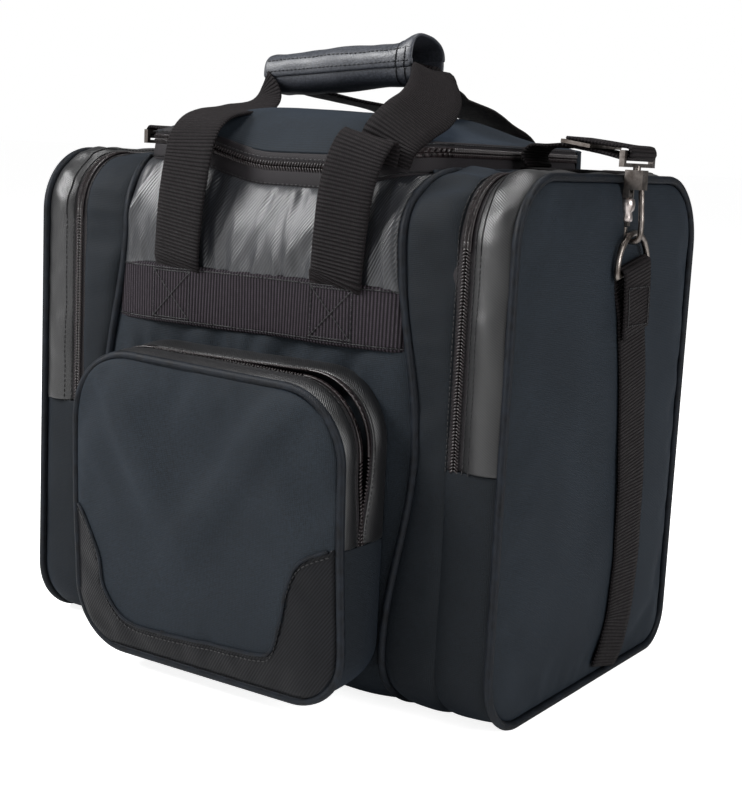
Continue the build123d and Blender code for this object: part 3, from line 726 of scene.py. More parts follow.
def pod(side, sign):
    """One shoe pod, with its two zip halves, stitching, piping and puffed side panel. Returns the panel."""
    cover = side + "_pod_cover"
    across_fold = fold_at(cover, FOLD_Z)
    loop = rounded_loop(*POD_OUTLINE)
    low, up = part_of_loop(*loop, FOLD_Z, upper=False), part_of_loop(*loop, FOLD_Z, upper=True)
    flat_rise = -0.5 * MM
    outer_edge = OUTER_X - 1.4 * MM

    def seam_edge(t, y, z):
        return SEAM_X + seam_shift(y, z) + 1.2 * MM

    def soft_crown(height, wrinkle, scale, seed, power=4):
        def rise(t, y, z):
            edge = 1 - (2 * t - 1) ** power
            swell = wobble(0.5 * t * scale, y, z, scale, seed + sign)
            corner = bump_at(z, POD_TOP - 18 * MM, 30 * MM) * bump_at(abs(y), HALF_DEPTH - 14 * MM, 34 * MM)
            gathers = crease(0.4 * t * scale, y, z, scale * 0.45, seed + 2 * sign) * (0.25 + 0.75 * corner)
            return height * edge - 0.9 * MM + wrinkle * edge * (swell + 0.6 * gathers)
        return rise

    # Both pod gussets take the darker navy copy: painted shade.
    gusset = ring_sheet(side + "_gusset", sign, loop, seam_edge, ZIP_X - ZIP_SHOWN,
                        soft_crown(2.6 * MM, 3.4 * MM, 34 * MM, 3.0), "shaded_navy", "bag", "pod_gussets",
                        10, weld=True)
    ring_sheet(side + "_lower_gusset", sign, low, GUSSET_X + 0.6 * MM, outer_edge,
               soft_crown(2.0 * MM, 2.0 * MM, 40 * MM, 5.0), "shaded_navy", "bag", "pod_lower_gussets", 8)
    # The strip takes the darker twill copy: painted shade.
    strip = ring_sheet(side + "_twill_strip", sign, up, ZIP_X + ZIP_SHOWN, outer_edge,
                       soft_crown(4.2 * MM, 2.2 * MM, 26 * MM, 7.0, power=2), "strip_twill", cover,
                       side + "_cover_strip", 8)
    ring_sheet(side + "_inner_tape", sign, up, GUSSET_X - 0.6 * MM, ZIP_X - 1.0 * MM, flat_rise, "tape",
               "bag", "pod_inner_zips", 3)
    ring_sheet(side + "_outer_tape", sign, up, ZIP_X + 1.0 * MM, STRIP_X0 + 0.8 * MM, flat_rise, "tape",
               cover, side + "_cover_zip", 3)
    chain = np.column_stack([np.full(len(up[0]), sign * ZIP_X), up[0]])
    chain_up = np.column_stack([np.zeros(len(up[0])), up[1]])
    coil_row(side + "_inner_coil", chain, chain_up, (-sign, 0, 0), "bag")
    coil_row(side + "_outer_coil", chain, chain_up, (sign, 0, 0), cover)

    # Stitching beside the zip, on the twill and on the gusset
    for label, x, body, sewn_on, missed in (("twill_a", ZIP_X + ZIP_SHOWN + 1.8 * MM, cover, strip, 0.9),
                                            ("twill_b", ZIP_X + ZIP_SHOWN + 6.2 * MM, cover, strip, 1.6),
                                            ("gusset", ZIP_X - ZIP_SHOWN - 1.8 * MM, "bag", gusset, 0.7)):
        skin = skin_of(sewn_on)
        row = chain.copy()
        row[:, 0] = sign * x
        row = [on_skin(skin, p + out * 20 * MM, -out, p + out * missed * MM, 0.15 * MM)[0]
               for p, out in zip(row, chain_up)]
        stitches(f"{side}_{label}_stitches", np.array(row), chain_up, body, lift=0.1 * MM)

    # Outer piping and side panel run over the fold in one piece
    outline, _ = rounded_loop(*POD_OUTLINE, 3 * MM, -0.2 * MM)
    path = [(sign * OUTER_X, y, z) for y, z in outline[:-1]]
    cord = tube(side + "_pod_piping", path, PIPING_R, closed=True)
    settle(cord, "bag", ["lower_piping", side + "_cover_piping"], blend_to=across_fold)

    flat = filled_round(*POD_OUTLINE, 6 * MM, inset=2.0 * MM)
    n, m = flat.shape[:2]

    def panel_at(i, j):
        (y, z), u, v = flat[i, j], 2 * i / (n - 1) - 1, 2 * j / (m - 1) - 1
        crown = (1 - abs(u) ** 5) * (1 - abs(v) ** 5)
        dent = wobble(0, y, z, 90 * MM, 11 + sign) * 2.0 * MM + wobble(0, y, z, 38 * MM, 4 + sign) * 0.8 * MM
        return (sign * (PANEL_X - 2.4 * MM + crown * (4.2 * MM + dent)), y, z), (y, z)

    panel = sheet(side + "_side_panel", n, m, panel_at, "navy", (0, 0, 0.16))
    puff(panel, n, m, 0.35, cap=3 * MM, grow=0.012)
    nodes = ["pod_lower_panels", side + "_cover_panel"]
    return settle(panel, "bag", nodes, thick=CLOTH, smoothing=1, blend_to=across_fold)


# ------------------------------------------------------------------ ball compartment

RIM_Z = 0.314


def panel_between_seams(name, profile, wrinkle, node, edge_tuck=1.4 * MM):
    """Sheet from seam to seam along a profile of (y, z, outward y, outward z) rows."""
    columns = 40
    lengths = arc_length(profile[:, :2])

    def at(i, j):
        (y, z, ny, nz), t = profile[i], 2 * j / columns - 1
        x = (SEAM_X + seam_shift(y, z) - 1.0 * MM) * t
        off = wrinkle(x, z) * (1 - t ** 8) - edge_tuck * t ** 8
        return (x, y + ny * off, z + nz * off), (x, lengths[i])

    settle(sheet(name, len(profile), columns + 1, at, "navy"), "bag", [node], thick=CLOTH, smoothing=1)


def foot_profile(sign, radius, top):
    """Profile of the wall from the floor round the foot and up to top; sign -1 is the front."""
    rows = []
    for angle in np.linspace(-90, 0, 9):
        ny, nz = cos(radians(angle)), sin(radians(angle))
        rows.append((sign * (HALF_DEPTH - radius + radius * ny), radius + radius * nz, sign * ny, nz))
    rows += [(sign * HALF_DEPTH, z, sign, 0) for z in np.arange(radius + 6 * MM, top, 6 * MM)]
    return rows + [(sign * HALF_DEPTH, top, sign, 0)]


def wall_lean(z):
    """How far the back wall has drawn in at height z, between the band and the lid's rim."""
    return (HALF_DEPTH - RIM_Y) * smooth((z - BAND_Z1) / (RIM_Z - BAND_Z1))


def ball_compartment():
    points, _ = rounded_loop(*POD_OUTLINE, 3 * MM)
    for side, sign in SIDES:
        path = [(sign * (SEAM_X + seam_shift(y, z)), y, z) for y, z in points[:-1]]
        settle(tube(side + "_seam_piping", path, PIPING_R, closed=True), "bag", ["body_piping"])

    def front_folds(x, z):
        fan = x * (1 + 2.2 * (BAND_Z0 - z))
        pleats = crease(fan, 0, z * 0.18, 17 * MM, 2) * 4.2 * MM * smooth((z - 0.16) / 0.04)
        pleats *= 1 - smooth((z - BAND_Z0 + 7 * MM) / (8 * MM))
        return 1.6 * MM + pleats + wobble(x, 0, z, 60 * MM, 9) * 2.0 * MM

    def back_folds(x, z):
        pulls = crease(x, 1, z * 0.3, 34 * MM, 24) * 1.2 * MM
        return 2.0 * MM + wobble(x, 1, z, 55 * MM, 21) * 2.6 * MM + pulls

    front = foot_profile(-1, FOOT_FRONT_R, BAND_Z1 - 4 * MM)
    panel_between_seams("front_panel_cloth", np.array(front), front_folds, "front_panel")
    heights = np.arange(BAND_Z1 + 5 * MM, RIM_Z + 12 * MM, 5 * MM)
    lean = [(HALF_DEPTH - wall_lean(z), z, 1, 0) for z in heights]
    back = foot_profile(1, FOOT_REAR_R, BAND_Z1) + lean
    panel_between_seams("back_panel_cloth", np.array(back), back_folds, "back_panel")
    floor = [(y, 0.0, 0, -1) for y in np.linspace(-HALF_DEPTH + FOOT_FRONT_R, HALF_DEPTH - FOOT_REAR_R, 30)]
    panel_between_seams("base_cloth", np.array(floor), lambda x, z: -0.3 * MM, "base_panel", -0.3 * MM)


def yoke_relief(x, v):
    """How far the yoke's satin stands out: a full middle, gathers along both seams, and slanting folds."""
    middle = sin(pi * v)
    sewn = smooth(v / 0.10) * smooth((1 - v) / 0.10)
    low_gather = crease(x, 0, v * 12 * MM, 9 * MM, 3) * (1 - v) ** 2.2 * sewn
    high_gather = crease(x, 0, v * 14 * MM, 8 * MM, 8) * v ** 2.5 * sewn
    straps = bump_at(x, 34 * MM, 26 * MM) + 0.7 * bump_at(x, 100 * MM, 16 * MM)
    straps += 0.5 * bump_at(x, -95 * MM, 20 * MM)
    folds = crease(x - v * 34 * MM, 0, v * 10 * MM, 20 * MM, 5) * middle * (0.25 + straps)
    swell = wobble(x, 0, v * 30 * MM, 45 * MM, 6) * middle
    return (6.5 * middle ** 0.6 + 1.5 * low_gather + 1.4 * high_gather + 2.8 * folds + 3 * swell) * MM


def crown_drop(over):
    """How far a pod's front corner has turned in, over metres past the start of its radius."""
    return CROWN_FRONT_R - sqrt(max(CROWN_FRONT_R ** 2 - over ** 2, 0))


def yoke():
    """Shiny twill between the webbing band and the lid's zip, puckered along both seams."""
    rows, columns = 34, 150
    z0 = BAND_Z1 - 6 * MM
    low_half = SEAM_X + seam_shift(-HALF_DEPTH, BAND_Z1) - 1.0 * MM

    def at(i, j):
        v, t = i / rows, 2 * j / columns - 1
        low = Vector((low_half * t, -HALF_DEPTH - 0.4 * MM, z0))
        point = low.lerp(lid_edge_point(t) + Vector((0, 0, -11 * MM)), v)
        # The side edges keep to the piping as it bends back over the pod
        over = min(max(point.z - (POD_TOP - CROWN_FRONT_R), 0), CROWN_FRONT_R * 0.98)
        side_pull = abs(t) ** 6
        point.y = point.y * (1 - side_pull) + (crown_drop(over) - HALF_DEPTH) * side_pull
        seam_x = SEAM_X + seam_shift(point.y, point.z) - 1.0 * MM
        point.x = point.x * (1 - side_pull) + (seam_x if t > 0 else -seam_x) * side_pull
        off = yoke_relief(point.x, v) * smooth((1 - abs(t)) / 0.12)
        return (point.x, point.y - off, point.z), (point.x, v * 58 * MM)

    cloth = sheet("yoke_twill", rows + 1, columns + 1, at, "twill", (0, 0, 0.2))
    settle(cloth, "bag", ["front_yoke"], thick=1.4 * MM, smoothing=1)


# ------------------------------------------------------------------ lid and its zip

LID_R = 30 * MM
LID_OUTLINE = ((-LID_SIDE, -RIM_Y), (LID_SIDE, RIM_Y), (LID_R,) * 4)
ZIP_BASE_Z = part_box("lid_zip_lid_half")[0].z - 0.2 * MM
ZIP_END_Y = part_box("lid_zip_lid_half")[1].y
LID_TAPE = 9.5 * MM


def zip_z(x, y):
    """Height of the lid's zip: level round the sides and back, sagging between the front handle's legs."""
    off_sag = smooth((abs(x - 20 * MM) - 20 * MM) / (75 * MM))
    return ZIP_BASE_Z + 13 * MM - 13 * MM * (1 - off_sag) * smooth((-35 * MM - y) / (70 * MM))


def lid_tape(x, y):
    """Height of the tape above the coil, widest at the middle of the front."""
    off_middle = max(smooth((abs(x) - 70 * MM) / (30 * MM)), smooth((y + 100 * MM) / (60 * MM)))
    return LID_TAPE - 3 * MM * off_middle


def lid_edge_path():
    """The line of the zip round the lid, rear left to front to rear right, with outward normals."""
    turn_scale = 1e-6  # keeps the turn out of the path's length
    rows = [(-LID_SIDE, ZIP_END_Y, 180 * turn_scale)]
    for centre_x, start in ((-LID_SIDE + LID_R, 180), (LID_SIDE - LID_R, 270)):
        for k in range(13):
            angle = start + 90 * k / 12
            c, s = LID_R * cos(radians(angle)), LID_R * sin(radians(angle))
            rows.append((centre_x + c, -RIM_Y + LID_R + s, angle * turn_scale))
    rows = resample(np.array(rows + [(LID_SIDE, ZIP_END_Y, 360 * turn_scale)]), 4 * MM)
    angle = np.radians(rows[:, 2] / turn_scale)
    points = np.array([(x, y, zip_z(x, y)) for x, y in rows[:, :2]])
    return points, np.column_stack([np.cos(angle), np.sin(angle), np.zeros(len(angle))])


def lid_edge_point(t):
    """Point on the zip's line straight in front of the yoke, t from -1 to 1."""
    x = t * LID_SIDE
    over = max(0.0, abs(x) - (LID_SIDE - LID_R))
    y = -RIM_Y + LID_R - sqrt(max(LID_R ** 2 - over ** 2, 0))
    return Vector((x, y, zip_z(x, y)))


def lid_zip():
    """Both halves of the lid's zip: a wavy tape, its coil and a row of stitches."""
    points, normals = lid_edge_path()
    lengths = arc_length(points)
    rise_steps = (0.06, 0.3, 0.6, 1.0)
    for label, up, body, node, lean, row_z in (("body", -1, "bag", "lid_zip_body_half", 1.4 * MM, 11.0 * MM),
                                               ("lid", 1, "lid", "lid_zip_lid_half", -0.6 * MM, 4.8 * MM)):
        wave = np.array([wobble(*p, 45 * MM, 31 + up) * MM for p in points])[:, None]

        def at(i, j):
            height = 13.5 * MM if up < 0 else lid_tape(*points[i][:2])
            off = lean * rise_steps[j] ** 2 + 0.8 * MM * sin(pi * j / 3) + wave[i]
            rise = up * rise_steps[j] * height
            return points[i] + normals[i] * off + np.array([0, 0, rise]), (lengths[i], rise)

        tape = sheet(f"{label}_zip_tape", len(points), 4, at, "tape", (0, 0, ZIP_BASE_Z))
        settle(tape, body, [node], thick=1.0 * MM, smoothing=1)
        wavy = points + normals * wave
        coil_row(f"{label}_zip_coil", wavy, normals, (0, 0, up), body, pitch=2.1 * MM)
        edge = wavy + normals * 1.2 * MM + np.array([0, 0, up * row_z])
        stitches(f"{label}_zip_stitches", edge, normals, body, lift=0.5 * MM)


def lid_height(x, y):
    """Top of the lid above a point of its plan."""
    u, v = min(abs(x) / LID_SIDE, 1.0), min(abs(y) / RIM_Y, 1.0)
    rim = zip_z(x, y) + lid_tape(x, y) - 1 * MM
    across = 1 - smooth((u - 0.34) / 0.6)
    along = (1 - v ** 4) ** 0.6 if y < 0 else 1 - smooth((v - 0.3) / 0.7)
    sag = wobble(x, y, 0, 70 * MM, 14) * 2.0 * MM + wobble(x, y, 0, 30 * MM, 8) * 0.9 * MM
    return rim + max(LID_CROWN - 1.5 * MM - rim, 0) * across * along + sag * (1 - min(max(u, v), 1) ** 4)


def lid():
    flat = filled_round(*LID_OUTLINE, 6 * MM, inset=-0.4 * MM)
    n, m = flat.shape[:2]
    top = sheet("lid_cloth", n, m, lambda i, j: ((*flat[i, j], lid_height(*flat[i, j])), flat[i, j]), "navy",
                (0, 0, 0.2))
    puff(top, n, m, 0.4, cap=2.5 * MM, grow=0.012)
    settle(top, "lid", ["lid_panel"], thick=CLOTH, smoothing=1)

    # Wall behind the ends of the zip, along the lid's fold
    points, normals = rounded_loop(*LID_OUTLINE)
    keep = points[:, 1] > ZIP_END_Y
    points, normals = points[keep], normals[keep]
    heights = np.array([-14, -7, 0, 3.5, 6.0]) * MM
    lengths = arc_length(points)

    def collar_at(i, j):
        (x, y), (nx, ny) = points[i], normals[i]
        off = 1.0 * MM * wobble(x, y, heights[j], 30 * MM, 5)
        return (x + nx * off, y + ny * off, zip_z(x, y) + heights[j]), (lengths[i], heights[j])

    collar = sheet("rear_collar", len(points), 5, collar_at, "navy", (0, 0, 0.33))
    rim = zip_z(0, RIM_Y)
    bend = ("lid", (0, RIM_Y, rim - 8 * MM), (0, RIM_Y, rim + 4 * MM))
    settle(collar, "bag", thick=1.4 * MM, smoothing=1, blend_to=bend)

    # Narrow shelf between the side of the zip and the seam piping
    ys = np.linspace(-RIM_Y + 12 * MM, RIM_Y, 40)
    for side, sign in SIDES:
        def shelf_at(i, j):
            y, t = ys[i], j / 3
            pod_z = POD_TOP - crown_drop(max(abs(y) - (HALF_DEPTH - CROWN_FRONT_R), 0)) - 1 * MM
            x = LID_SIDE + (SEAM_X - LID_SIDE) * t
            z = (zip_z(x, y) - 10 * MM) * (1 - t) + min(pod_z, zip_z(x, y)) * t - 3 * MM * sin(pi * t)
            return (sign * x, y, z), (y, x)

        shelf = sheet(side + "_shelf", 40, 4, shelf_at, "navy", (sign * LID_SIDE, 0, 0.2))
        settle(shelf, "bag", thick=1.2 * MM)


# ------------------------------------------------------------------ front pocket

POCKET_CENTRE_Z = (POCKET_LO.z + POCKET_HI.z) / 2
POCKET_RADII = (40 * MM, 34 * MM, 42 * MM, 46 * MM)
POCKET_FLAT = ((POCKET_LO.x, POCKET_LO.z), (POCKET_HI.x, POCKET_HI.z - 1 * MM), POCKET_RADII)
POCKET_FOLD = fold_at("pocket_cover", POCKET_FOLD_Z)

# Line where the navy cloth meets the twill corners, left to right, as (x, z) in millimetres
POCKET_CONTOUR = spline([(-104, 104), (-96, 100), (-79, 76), (-73, 54), (-54, 36), (-26, 34), (16, 36),
                         (52, 38), (63, 43), (69, 62), (73, 84), (81, 100), (99, 110), (106, 112)], 3.0) * MM


def pocket_skew(x, z, depth):
    """The hanging pocket leans: its foot drifts right, its right shoulder drops. depth is 0 at the wall."""
    low = smooth((POCKET_CENTRE_Z + 20 * MM - z) / (100 * MM))
    high = smooth((z - POCKET_CENTRE_Z) / (80 * MM))
    drift = depth * (5 * MM * low - 1.5 * MM * high)
    return x + drift, z - depth * 0.03 * x * high + (1 - depth) * 7 * MM * high


def pocket_ring(name, y_rear, y_front, look, body, node, upper, rise, columns=5):
    """Strip of the pocket's gusset; y_rear and y_front may be functions of (x, z).

    Returns its rear edge, its front edge and the outward normals along them.
    """
    loop = rounded_loop((POCKET_LO.x, POCKET_LO.z), (POCKET_HI.x, POCKET_HI.z), POCKET_RADII)
    points, normals = part_of_loop(*loop, POCKET_FOLD_Z, upper)
    lengths = arc_length(points)

    def at(i, j):
        (x, z), (nx, nz), t = points[i], normals[i], j / columns
        rear, front = worked(y_rear, x, z), worked(y_front, x, z)
        y = rear + (front - rear) * t
        sx, sz = pocket_skew(x, z, (-HALF_DEPTH - y) / (-HALF_DEPTH - POCKET_FACE))
        swell = rise * sin(pi * t) + wobble(x, y, z, 22 * MM, 17) * 1.0 * MM * sin(pi * t)
        return (sx + nx * swell, y, sz + nz * swell), (lengths[i], y)

    strip = sheet(name, len(points), columns + 1, at, look, (0, -0.15, POCKET_CENTRE_Z))
    settle(strip, body, [node], thick=1.4 * MM, smoothing=1)
    rear_edge, front_edge = [np.array([at(i, j)[0] for i in range(len(points))]) for j in (0, columns)]
    return rear_edge, front_edge, np.column_stack([normals[:, 0], np.zeros(len(normals)), normals[:, 1]])


def mouth(x, z):
    """How wide the pocket's zip stands open: shut on the left, widest at the right shoulder."""
    along = (x - POCKET_LO.x) / (POCKET_HI.x - POCKET_LO.x)
    return 12 * MM * smooth((along - 0.25) / 0.75) * smooth((z - POCKET_FOLD_Z) / (45 * MM))


def pocket_front_y(x, z):
    """Front of the pocket before it is puffed: crowned, with soft folds from its top corners."""
    u = 2 * (x - POCKET_LO.x) / (POCKET_HI.x - POCKET_LO.x) - 1
    v = 2 * (z - POCKET_LO.z) / (POCKET_HI.z - POCKET_LO.z) - 1
    crown = (1 - abs(u) ** 6) * (1 - abs(v) ** 6)
    high = smooth((v + 0.6) / 1.1)
    from_left = bump_at(0.86 * (x + 62 * MM) + 0.5 * (z - 172 * MM), 0, 13 * MM)
    from_middle = bump_at(0.5 * (x + 8 * MM) + 0.86 * (z - 168 * MM) * 0.35, 0, 12 * MM)
    from_right = bump_at(0.8 * (x - 34 * MM) - 0.6 * (z - 150 * MM), 0, 12 * MM)
    folds = 5.0 * from_left - 3.5 * from_middle + 4.6 * from_right + 2.8 * wobble(x, 0, z, 42 * MM, 13)
    return POCKET_FACE + 1.6 * MM - crown * (2.2 * MM + folds * high * MM)


def pocket():
    """Gussets, zip and piping of the pocket and its puffed front, which is returned."""
    rim_y, wall_y = POCKET_FACE + 2.6 * MM, -HALF_DEPTH - 0.6 * MM
    # The pocket's lower gusset takes the darker navy copy: painted shade.
    pocket_ring("pocket_low_gusset", wall_y, rim_y + 1 * MM, "shaded_navy", "bag", "pocket_lower_gusset",
                False, 1.5 * MM, columns=8)

    def rear_of_zip(x, z):
        return POCKET_ZIP_Y + 2.4 * MM + mouth(x, z) * 0.6

    def front_of_zip(x, z):
        return POCKET_ZIP_Y - 2.4 * MM - mouth(x, z) * 0.3

    for label, body, toward, y_rear, y_front, rise in (
            ("rear", "bag", 1, wall_y, rear_of_zip, 1.6 * MM),
            ("front", "pocket_cover", -1, front_of_zip, rim_y + 1 * MM, 1.4 * MM)):
        # These strips take the darker twill copy: painted shade.
        *edges, ups = pocket_ring(f"pocket_{label}_twill", y_rear, y_front, "strip_twill", body,
                                  f"pocket_{label}_strip", True, rise)
        edge = edges[1] if label == "rear" else edges[0]
        lengths = arc_length(edge)

        def at(i, j):
            over = np.array([0, -toward * (1.6 * j - 0.8) * MM, 0])
            return edge[i] + over - ups[i] * 0.5 * MM, (lengths[i], j * 1.6 * MM)

        tape = sheet(f"pocket_{label}_tape", len(edge), 3, at, "tape", (0, -0.15, POCKET_CENTRE_Z))
        settle(tape, body, [f"pocket_zip_{label}"], thick=0.8 * MM)
        across = np.array([0, toward * MM, 0])
        chain = edge - 2.4 * across - ups * 0.4 * MM
        coil_row(f"pocket_{label}_coil", chain, ups, (0, toward, 0), body, pitch=2.2 * MM)
        stitches(f"pocket_{label}_stitches", edge + 1.6 * across, ups, body, lift=0.6 * MM)

    points, _ = rounded_loop(*POCKET_FLAT, 3 * MM)
    cord = [(x, rim_y, z) for x, z in (pocket_skew(x, z, 1.0) for x, z in points[:-1])]
    piping = tube("pocket_piping", cord, PIPING_R, closed=True)
    settle(piping, "bag", ["pocket_cover_piping"], blend_to=POCKET_FOLD)

    flat = filled_round(*POCKET_FLAT, 5 * MM, inset=1.6 * MM)
    n, m = flat.shape[:2]

    def front_at(i, j):
        x, z = pocket_skew(*flat[i, j], 1.0)
        return (x, pocket_front_y(*flat[i, j]), z), flat[i, j]

    front = sheet("pocket_front_cloth", n, m, front_at, "navy", (0, -0.1, POCKET_CENTRE_Z))
    puff(front, n, m, 0.4, cap=3 * MM, grow=0.01)
    nodes = ["pocket_lower_panel", "pocket_cover_panel"]
    return settle(front, "bag", nodes, thick=1.4 * MM, smoothing=1, blend_to=POCKET_FOLD)


def pocket_contour(front):
    """Twill patch on the foot of the pocket and the cord stitched along its edge."""
    tree = skin_of(front)

    def drop(x, z, lift):
        """Point on the pocket's front, the median of five rays."""
        hits = [on_skin(tree, (x + a * MM, -0.3, z + b * MM), (0, 1, 0), (x, POCKET_FACE, z), lift)[0].y
                for a, b in ((0, 0), (1.2, 0), (-1.2, 0), (0, 1.2), (0, -1.2))]
        return Vector((x, sorted(hits)[2], z))

    flat = filled_round(*POCKET_FLAT, 2.5 * MM, inset=2.4 * MM)
    verts, uvs, kept, faces = [], [], {}, []
    for i, j in np.ndindex(flat.shape[:2]):
        x, z = pocket_skew(*flat[i, j], 1.0)
        edge = float(np.interp(x, POCKET_CONTOUR[:, 0], POCKET_CONTOUR[:, 1]))
        if z <= edge + 2.6 * MM:
            kept[i, j] = len(verts)
            uvs.append((x, min(z, edge)))
            verts.append(drop(*uvs[-1], 0.5 * MM))
    for i, j in kept:
        corners = [(i, j), (i, j + 1), (i + 1, j + 1), (i + 1, j)]
        if all(corner in kept for corner in corners):
            faces.append(tuple(kept[corner] for corner in corners))
    # The patch takes the darker twill copy: painted shade.
    patch = make_object("pocket_twill_patch", verts, faces, "dull_twill", uvs)
    settle(patch, "bag", thick=0.5 * MM, blend_to=POCKET_FOLD)

    line = [(x, z) for x, z in POCKET_CONTOUR if abs(x) < 0.101]
    cord = [drop(x, z, 0.7 * MM) for x, z in line]
    settle(tube("pocket_cord", cord, 1.1 * MM, sides=8), "bag", blend_to=POCKET_FOLD)
    row = np.array([drop(x, z - 4 * MM, 0.7 * MM) for x, z in line])
    stitches("pocket_cord_stitches", row, np.array([(0, -1, 0)] * len(line)), "bag", blend_to=POCKET_FOLD)


# ------------------------------------------------------------------ webbing, handles and grip

HANDLE_X = 63 * MM
STRAP_W = 37 * MM


def bands():
    """Webbing across the front and back, with the crossed boxes of stitches over the handle ends."""
    mid_z = (BAND_Z0 + BAND_Z1) / 2
    for label, front in (("front", -1), ("rear", 1)):
        half = SEAM_X + (seam_shift(-HALF_DEPTH, mid_z) if front < 0 else 0) - 1.5 * MM
        stations = []
        for t in np.linspace(-1, 1, 25):
            x = t * half
            over = max(bump_at(x, -HANDLE_X, 24 * MM), bump_at(x, HANDLE_X, 24 * MM))
            y = HALF_DEPTH + 2.6 * MM + 2.2 * MM * over - 4.5 * MM * abs(t) ** 14
            stations.append(((x, front * y, mid_z + 0.6 * MM * wobble(x, 0, 0, 40 * MM)), (0, 0, 1)))
        band = settle(ribbon(f"{label}_band", stations, "band", columns=10), "bag", ["handle_bands"])
        skin = skin_of(band)

        def sew(row, corners):
            path = [(x, front * 0.3, z) for x, z in resample(np.array(corners, float), 3 * MM)]
            seam(f"{label}_{row}", skin, path, (0, -front, 0), 0.17, "bag")

        z0, z1 = BAND_Z0 + 4 * MM, BAND_Z1 - 4 * MM
        for side, sign in SIDES:
            x0, x1 = sign * HANDLE_X - 15 * MM, sign * HANDLE_X + 15 * MM
            around = [(x0, z0), (x1, z0), (x1, z1), (x0, z1), (x0, z0)]
            sew(side + "_box", around + [(x1, z1), (x1, z0), (x0, z1)])
        for edge, z in (("low", BAND_Z0 + 2.4 * MM), ("high", BAND_Z1 - 2.4 * MM)):
            sew(edge + "_row", [(x, z) for x in np.linspace(-SEAM_X + 6 * MM, SEAM_X - 6 * MM, 40)])


# Stations of the handles' legs: x, y, z in millimetres, the way the width runs, and the share of it left
LEG_FOOT, LEG_BEND = BAND_Z0 / MM + 3, BAND_Z1 / MM - 6
FRONT_LEGS = {
    "left": [
        (-60, -127.2, LEG_FOOT, 1, 0, 0), (-59.5, -128.5, LEG_BEND, 1, 0, -0.04),
        (-56.5, -134, 268, 1, 0, -0.08), (-51.5, -137, 300, 1, 0.02, -0.08),
        (-49, -135, 326, 1, 0.04, -0.02), (-49.5, -129, 342.5, 1, 0.06, 0),
        (-51, -116, 353, 1, 0.1, 0), (-53, -97, 358, 1, 0.14, -0.03),
        (-56, -72, 360.5, 0.95, 0.16, -0.06), (-62, -50, 367, 0.85, -0.2, -0.04, 0.95),
        (-69, -35, 378, 0.55, -0.8, 0, 0.75), (-69, -24, 387, 0.2, -0.98, 0, 0.6),
        (-61, -20, 388, 0, -1, 0, 0.6), (-46, -20, 388, 0, -1, 0, 0.7),
    ],
    "right": [
        (63, -127.2, LEG_FOOT, 1, 0, 0), (63.5, -128.5, LEG_BEND, 1, 0, -0.05),
        (67, -133, 262, 1, 0.03, -0.14), (70.5, -136, 286, 1, 0.05, -0.14),
        (74, -136.5, 314, 1, 0.07, -0.15), (77, -132.5, 333, 1, 0.08, -0.18),
        (79.5, -127, 343.5, 1, 0.08, -0.22), (80.3, -122.5, 345.8, 1, 0.08, -0.22),
        (80, -119, 342.5, 1, 0.08, -0.2), (78, -118.5, 332, 1, 0.08, -0.18),
    ],
}
# The right leg's upper part comes up behind that fold and climbs askew to the end of the grip
FOLDED_LEG = [
    (85, -115.5, 333, 0.9, 0.1, -0.42), (89, -114, 345.5, 0.86, 0.14, -0.48),
    (93, -101, 356.5, 0.8, 0.2, -0.56), (92.5, -83, 364, 0.76, 0.38, -0.52),
    (85, -62, 373, 0.66, 0.6, -0.44), (74, -43, 382, 0.44, 0.84, -0.32),
    (63, -28, 388.5, 0.16, 0.98, -0.14, 0.85), (54, -21, 389.5, 0, 1, 0, 0.75),
    (40, -20, 388.5, 0, 1, 0),
]


def rear_leg(sign):
    """One leg of the rear handle: over the lid's back edge, closing in, then out to the grip."""
    end = 47 if sign > 0 else 62
    rows = [
        (HANDLE_X / MM, 127.2, LEG_FOOT, 1, 0, 0), (HANDLE_X / MM, 128.5, LEG_BEND, 1, 0, 0),
        (60, 134.5, 276, 1, 0, 0.12), (52, 136, 306, 1, 0, 0.2), (43, 133, 332, 1, 0, 0.2),
        (37, 123, 349, 1, 0.1, 0.1), (34, 100, 360, 1, 0.05, 0), (36, 68, 368, 0.95, 0.25, 0),
        (end - 10, 34, 373, 0.9, 0.4, 0, 0.95), (end + 2, 10, 377.5, 0.85, 0.5, -0.1, 0.7),
        (end + 5, -6, 383, 0.6, 0.75, -0.2, 0.45), (end + 3, -15, 390, 0.2, 0.95, -0.1, 0.4),
        (end - 5, -19, 394.5, 0, 1, 0, 0.45), (36, -20, 393.5, 0, 1, 0, 0.6),
    ]
    return [(sign * x, y, z, a, sign * b, sign * c, *share) for x, y, z, a, b, c, *share in rows]


def strap_piece(name, rows, width=STRAP_W):
    """Webbing through rows of x, y, z in millimetres, its width's way and, if folded, its share."""
    return ribbon(name, [(np.array(row[:3]) * MM, row[3:6], *row[6:]) for row in rows], width=width)


def handles():
    for handle in ("front_handle", "rear_handle"):
        bend = (handle, (0, 0, BAND_Z1 + 2 * MM), (0, 0, BAND_Z1 + 34 * MM))
        for side, sign in SIDES:
            rows = FRONT_LEGS[side] if handle == "front_handle" else rear_leg(sign)
            settle(strap_piece(f"{handle}_{side}_leg", rows), "bag", [handle], blend_to=bend)
    settle(strap_piece("front_handle_folded_leg", FOLDED_LEG), "front_handle", ["front_handle"])
    for handle, z in (("front_handle", 387.5), ("rear_handle", 393.5)):
        bar = strap_piece(f"{handle}_bar", [(x, -20, z, 0, 1, 0) for x in (-54, 0, 42)], STRAP_W - 3 * MM)
        settle(bar, handle, [handle])


GRIP_X0, GRIP_X1 = -66 * MM, 53 * MM
GRIP_Y = -20 * MM


